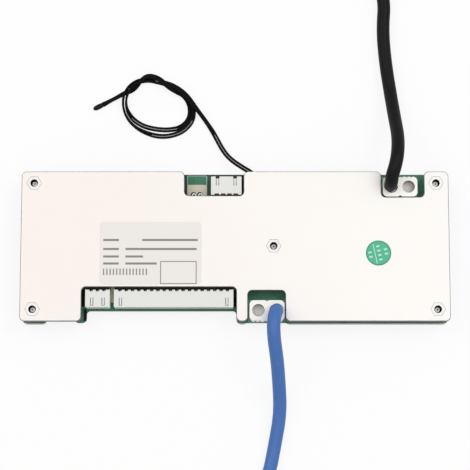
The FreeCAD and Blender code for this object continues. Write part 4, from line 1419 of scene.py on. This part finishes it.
@dataclass
class BoardParts:
    """The parts under the front plate: transistors, chips, shunts and the cells' small parts."""

    rounding: float = 0.08 * MM
    chip_rounding: float = 0.05 * MM
    cap_length: float = 0.35 * MM

    def two_ended(self, node: str, finish: Finish, slot: str) -> None:
        """Small chips with tinned ends along Y.

        Args:
            node: Their CAD node.
            finish: The finish between the ends.
            slot: The record's material slot.
        """
        low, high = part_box(node)
        ends = (low.y + self.cap_length, high.y - self.cap_length)
        piece = Piece(node + "_dressed", [finish, PIN_TIN]).take(node)
        for y in ends:
            bmesh.ops.bisect_plane(piece.form, geom=[*piece.form.verts, *piece.form.edges, *piece.form.faces],
                                   plane_co=(0, y, 0), plane_no=(0, 1, 0))
        piece.paint(1, lambda face: not ends[0] < face.calc_center_median().y < ends[1])
        piece.soften(self.chip_rounding, 1).done(slot, replaced=[node])

    def build(self) -> None:
        """Builds every part in its own finish."""
        for node, finish, slot in (
            ("transistor_bodies", PACKAGE_BLACK, "package_black"),
            ("transistor_metal", PIN_TIN, "package_metal"),
            ("heat_pads", HEAT_PAD, "heat_pad"),
            ("shunt_resistors", SHUNT_ALLOY, "shunt_metal"),
            ("controller_chip", PACKAGE_BLACK, "package_black"),
            ("cell_monitor_chips", PACKAGE_BLACK, "package_black"),
            ("regulator_chip", PACKAGE_BLACK, "package_black"),
        ):
            softened_copy(node + "_dressed", node, finish, slot, self.rounding)
        self.two_ended("balance_resistors", PACKAGE_BLACK, "package_black")
        self.two_ended("filter_capacitors", CERAMIC, "capacitor_ceramic")


# Floor, lights and camera


@dataclass
class Studio:
    """A white floor, soft light from the upper right and the photograph's camera."""

    tilt: float = math.radians(8.688)
    distance: float = 0.7211
    aim: Vector = field(default_factory=lambda: Vector((-0.00003, 0.0063, 0.0)))
    focal_length: float = 136.79
    sensor_width: float = 36.0
    floor_size: float = 4.0
    floor_drop: float = 0.05 * MM
    floor_glow: float = 0.84
    world_strength: float = 0.50
    glossy_strength: float = 0.6
    lamps: Sequence[tuple[str, Point, float, float]] = (
        ("key_lamp", (0.50, 0.24, 0.85), 0.5, 2.75),
        ("fill_lamp", (-0.50, 0.18, 0.85), 0.5, 2.1),
        ("top_lamp", (0.0, -0.25, 1.0), 0.6, 1.2),
    )

    def floor(self) -> None:
        """A pale floor that keeps a soft shadow and looks white to the camera."""
        form = bmesh.new()
        bmesh.ops.create_grid(form, x_segments=1, y_segments=1, size=self.floor_size / 2,
                              matrix=Matrix.Translation((0, 0, -self.floor_drop)))
        mesh = bpy.data.meshes.new("floor")
        form.to_mesh(mesh)
        form.free()
        floor = linked("floor", mesh)
        graph = Graph(bpy.data.materials.new("pale_floor"))
        camera, glossy, through = (graph.node("ShaderNodeLightPath", output=f"Is {kind} Ray")
                                   for kind in ("Camera", "Glossy", "Transmission"))
        seen = graph.maths("MAXIMUM", graph.maths("MAXIMUM", camera, glossy), through)
        paper = graph.node("ShaderNodeBsdfPrincipled",
                           sockets={"Base Color": (0.97, 0.97, 0.97, 1), "Roughness": 0.9})
        white = graph.node("ShaderNodeEmission", sockets={"Color": (1, 1, 1, 1), "Strength": 1.0})
        mixed = graph.node("ShaderNodeMixShader", sockets={0: seen * self.floor_glow, 1: paper, 2: white})
        mesh.materials.append(graph.close(mixed))

    def world(self) -> None:
        """Even light from all round, slightly brighter in reflections."""
        world = bpy.data.worlds.new("studio_world")
        bpy.context.scene.world = world
        graph = Graph(world)
        glossy = graph.node("ShaderNodeLightPath", output="Is Glossy Ray")
        strength = graph.node("ShaderNodeMapRange", sockets={
            "Value": glossy, "To Min": self.world_strength, "To Max": self.glossy_strength})
        light = graph.node("ShaderNodeBackground", sockets={"Color": (1, 1, 1, 1), "Strength": strength})
        graph.close(light, "ShaderNodeOutputWorld")

    def lamp(self, name: str, place: Vector, size: float, power: float) -> None:
        """A soft square lamp that faces the part.

        Args:
            name: Its name.
            place: Where it hangs.
            size: The length of its sides.
            power: Its power in watts.
        """
        data = bpy.data.lights.new(name, "AREA")
        data.shape = "SQUARE"
        data.size = size
        data.energy = power
        lamp = linked(name, data)
        lamp.location = place
        lamp.rotation_euler = (Vector() - place).to_track_quat("-Z", "Y").to_euler()

    def camera(self) -> None:
        """The camera, almost straight above the part."""
        data = bpy.data.cameras.new("camera")
        data.lens = self.focal_length
        data.sensor_width = self.sensor_width
        data.clip_start = 0.01
        camera = linked("camera", data)
        camera.location = self.aim + Vector((0, -math.sin(self.tilt), math.cos(self.tilt))) * self.distance
        camera.rotation_euler = (self.tilt, 0, 0)
        bpy.context.scene.camera = camera

    def build(self) -> None:
        """Sets up the studio."""
        self.camera()
        self.floor()
        self.world()
        for name, place, size, power in self.lamps:
            self.lamp(name, Vector(place), size, power)
        bpy.context.scene.view_settings.view_transform = "Standard"


def screw_places() -> list[Span]:
    """Centres of the screws: four from the box of all five, and the fifth at its own place.

    Returns:
        Five places in X and Y.
    """
    low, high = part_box("board_screws")
    places = [(x, y) for x in (low.x + HEAD_RADIUS, high.x - HEAD_RADIUS)
              for y in (low.y + HEAD_RADIUS, high.y - HEAD_RADIUS)]
    return places + [(15.3 * MM, 0.0)]


def power_leads() -> list[PowerLead]:
    """The two power leads, on points close to the CAD source's routes.

    Returns:
        The black and the blue lead.
    """
    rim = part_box("upper_terminal")[1].z
    floor = 2.7 * MM
    black_bends = [
        (-0.00045, 0.0005, rim + 0.0004), (-0.00045, 0.0005, rim + 0.0045), (-0.0004, 0.0031, rim + 0.0077),
        (0.0009, 0.0070, rim + 0.0091), (0.0020, 0.0125, rim + 0.0081), (0.00255, 0.0197, rim + 0.0037),
        (0.0018, 0.0287, rim - 0.0027), (0.0007, 0.0401, floor + 0.0015), (-0.0010, 0.0531, floor),
        (-0.0020, 0.0667, floor), (-0.00085, 0.0805, floor), (-0.00615, 0.0949, floor),
        (-0.01795, 0.1057, floor), (-0.03375, 0.1095, floor), (-0.04935, 0.1087, floor),
        (-0.06135, 0.1097, floor),
    ]
    blue_bends = [
        (0.00045, -0.0001, rim + 0.0004), (0.00045, -0.0001, rim + 0.0045), (-0.0006, -0.0028, rim + 0.0077),
        (-0.0011, -0.0069, rim + 0.0091), (-0.0008, -0.0124, rim + 0.0081), (0.0004, -0.0196, rim + 0.0037),
        (0.0013, -0.0286, rim - 0.0027), (0.0019, -0.0400, floor + 0.0015), (-0.00035, -0.0528, floor),
        (-0.0029, -0.0654, floor), (-0.0094, -0.0780, floor), (-0.0212, -0.0870, floor),
        (-0.0366, -0.0902, floor), (-0.0526, -0.0890, floor), (-0.0660, -0.0900, floor),
        (-0.0786, -0.0892, floor),
    ]
    upper = centre_of("upper_terminal") - Vector((CUP_OFFSET, 0, 0))
    lower = centre_of("lower_terminal") + Vector((CUP_OFFSET, 0, 0))
    return [PowerLead("black", upper, black_bends, BLACK_SLEEVE),
            PowerLead("blue", lower, blue_bends, BLUE_SLEEVE)]


def sensor_lead() -> SensorLead:
    """The sensor's lead, on points close to the CAD source's route at its two ends.

    Returns:
        The lead.
    """
    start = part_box("circuit_board")[1].z + 0.0006
    flat = 0.0006
    arriving = [
        (0.0, 0.0, start, 0), (0.0011, 0.0038, start, 0), (0.0001, 0.0070, start + 0.0003, 0),
        (-0.0034, 0.0092, start - 0.0003, 0), (-0.0074, 0.0121, 0.0047, 0), (-0.0101, 0.0148, 0.0030, 0),
        (-0.0123, 0.0181, 0.0016, 0), (-0.0142, 0.0218, 0.0008, 10), (-0.0162, 0.0256, flat, 20),
        (-0.0187, 0.0294, 0.0008, 35), (-0.0214, 0.0330, 0.0014, 40), (-0.0236, 0.0358, 0.0022, 20),
    ]
    turns = [
        (22.5, 0.0121, 0.0029, 0), (45.0, 0.0106, 0.0028, 10), (67.5, 0.0106, 0.0019, 60),
        (90.0, 0.0111, 0.0012, 85), (112.5, 0.0130, 0.0011, 90), (135.0, 0.0148, 0.0013, 90),
        (157.5, 0.0153, 0.0023, 90), (180.0, 0.0148, 0.0016, 88), (202.5, 0.0138, 0.0011, 85),
        (225.0, 0.0127, 0.0011, 75), (247.5, 0.01205, 0.0010, 45), (270.0, 0.01235, 0.0008, 10),
        (292.5, 0.01315, 0.0008, 5), (315.0, 0.0144, 0.0010, 30), (337.5, 0.0152, 0.0010, 30),
        (360.0, 0.0143, 0.0010, 35), (382.5, 0.0123, 0.0011, 75), (405.0, 0.0107, 0.0011, 90),
        (427.5, 0.0096, 0.0011, 90), (450.0, 0.0098, 0.0011, 90), (472.5, 0.0118, 0.0011, 90),
        (495.0, 0.0137, 0.0013, 90), (517.5, 0.0140, 0.0023, 90), (540.0, 0.0135, 0.0016, 80),
        (562.5, 0.0121, 0.0010, 30), (585.0, 0.01055, 0.0008, 5), (607.5, 0.00955, 0.0008, 0),
        (630.0, 0.00945, 0.0008, 0), (652.5, 0.01045, 0.0008, 5), (675.0, 0.0125, 0.0010, 40),
        (697.5, 0.0135, 0.0010, 45), (720.0, 0.0128, 0.0010, 50), (742.5, 0.0110, 0.0011, 80),
        (765.0, 0.0091, 0.0018, 20), (787.5, 0.0090, 0.0028, 0), (810.0, 0.0115, 0.0029, 0),
        (828.0, 0.0134, 0.0029, 20), (841.0, 0.0133, 0.0026, 50), (856.0, 0.0122, 0.0012, 40),
        (869.0, 0.0130, 0.0007, 12),
    ]
    leaving = [
        (-0.0519, 0.0417, 0.0008, 10), (-0.0546, 0.0401, 0.0010, 35), (-0.0579, 0.0383, 0.0011, 45),
        (-0.0600, 0.0371, 0.0012, 15), (-0.0610, 0.0366, 0.0012, 0),
    ]
    return SensorLead(Vector((7.1 * MM, 23.2 * MM, start)), arriving, turns, leaving)


def main() -> None:
    """Loads the frame, dresses every sub-assembly and logs face counts and lead lengths."""
    logging.basicConfig(level=logging.INFO, format="%(name)s: %(message)s")
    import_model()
    Studio().build()
    for lead in power_leads():
        lead.build()
    sensor_lead().build()
    PlateStack(screw_places()).build()
    BoardFace().build()
    for housing, pins, count, inward in HEADERS:
        SideEntryHeader(housing, pins, count, inward).build()
    for node in ("upper_terminal", "lower_terminal"):
        SolderTerminal(node).build()
    FrontMarks().build()
    BoardParts().build()


if __name__ == "__main__":
    main()
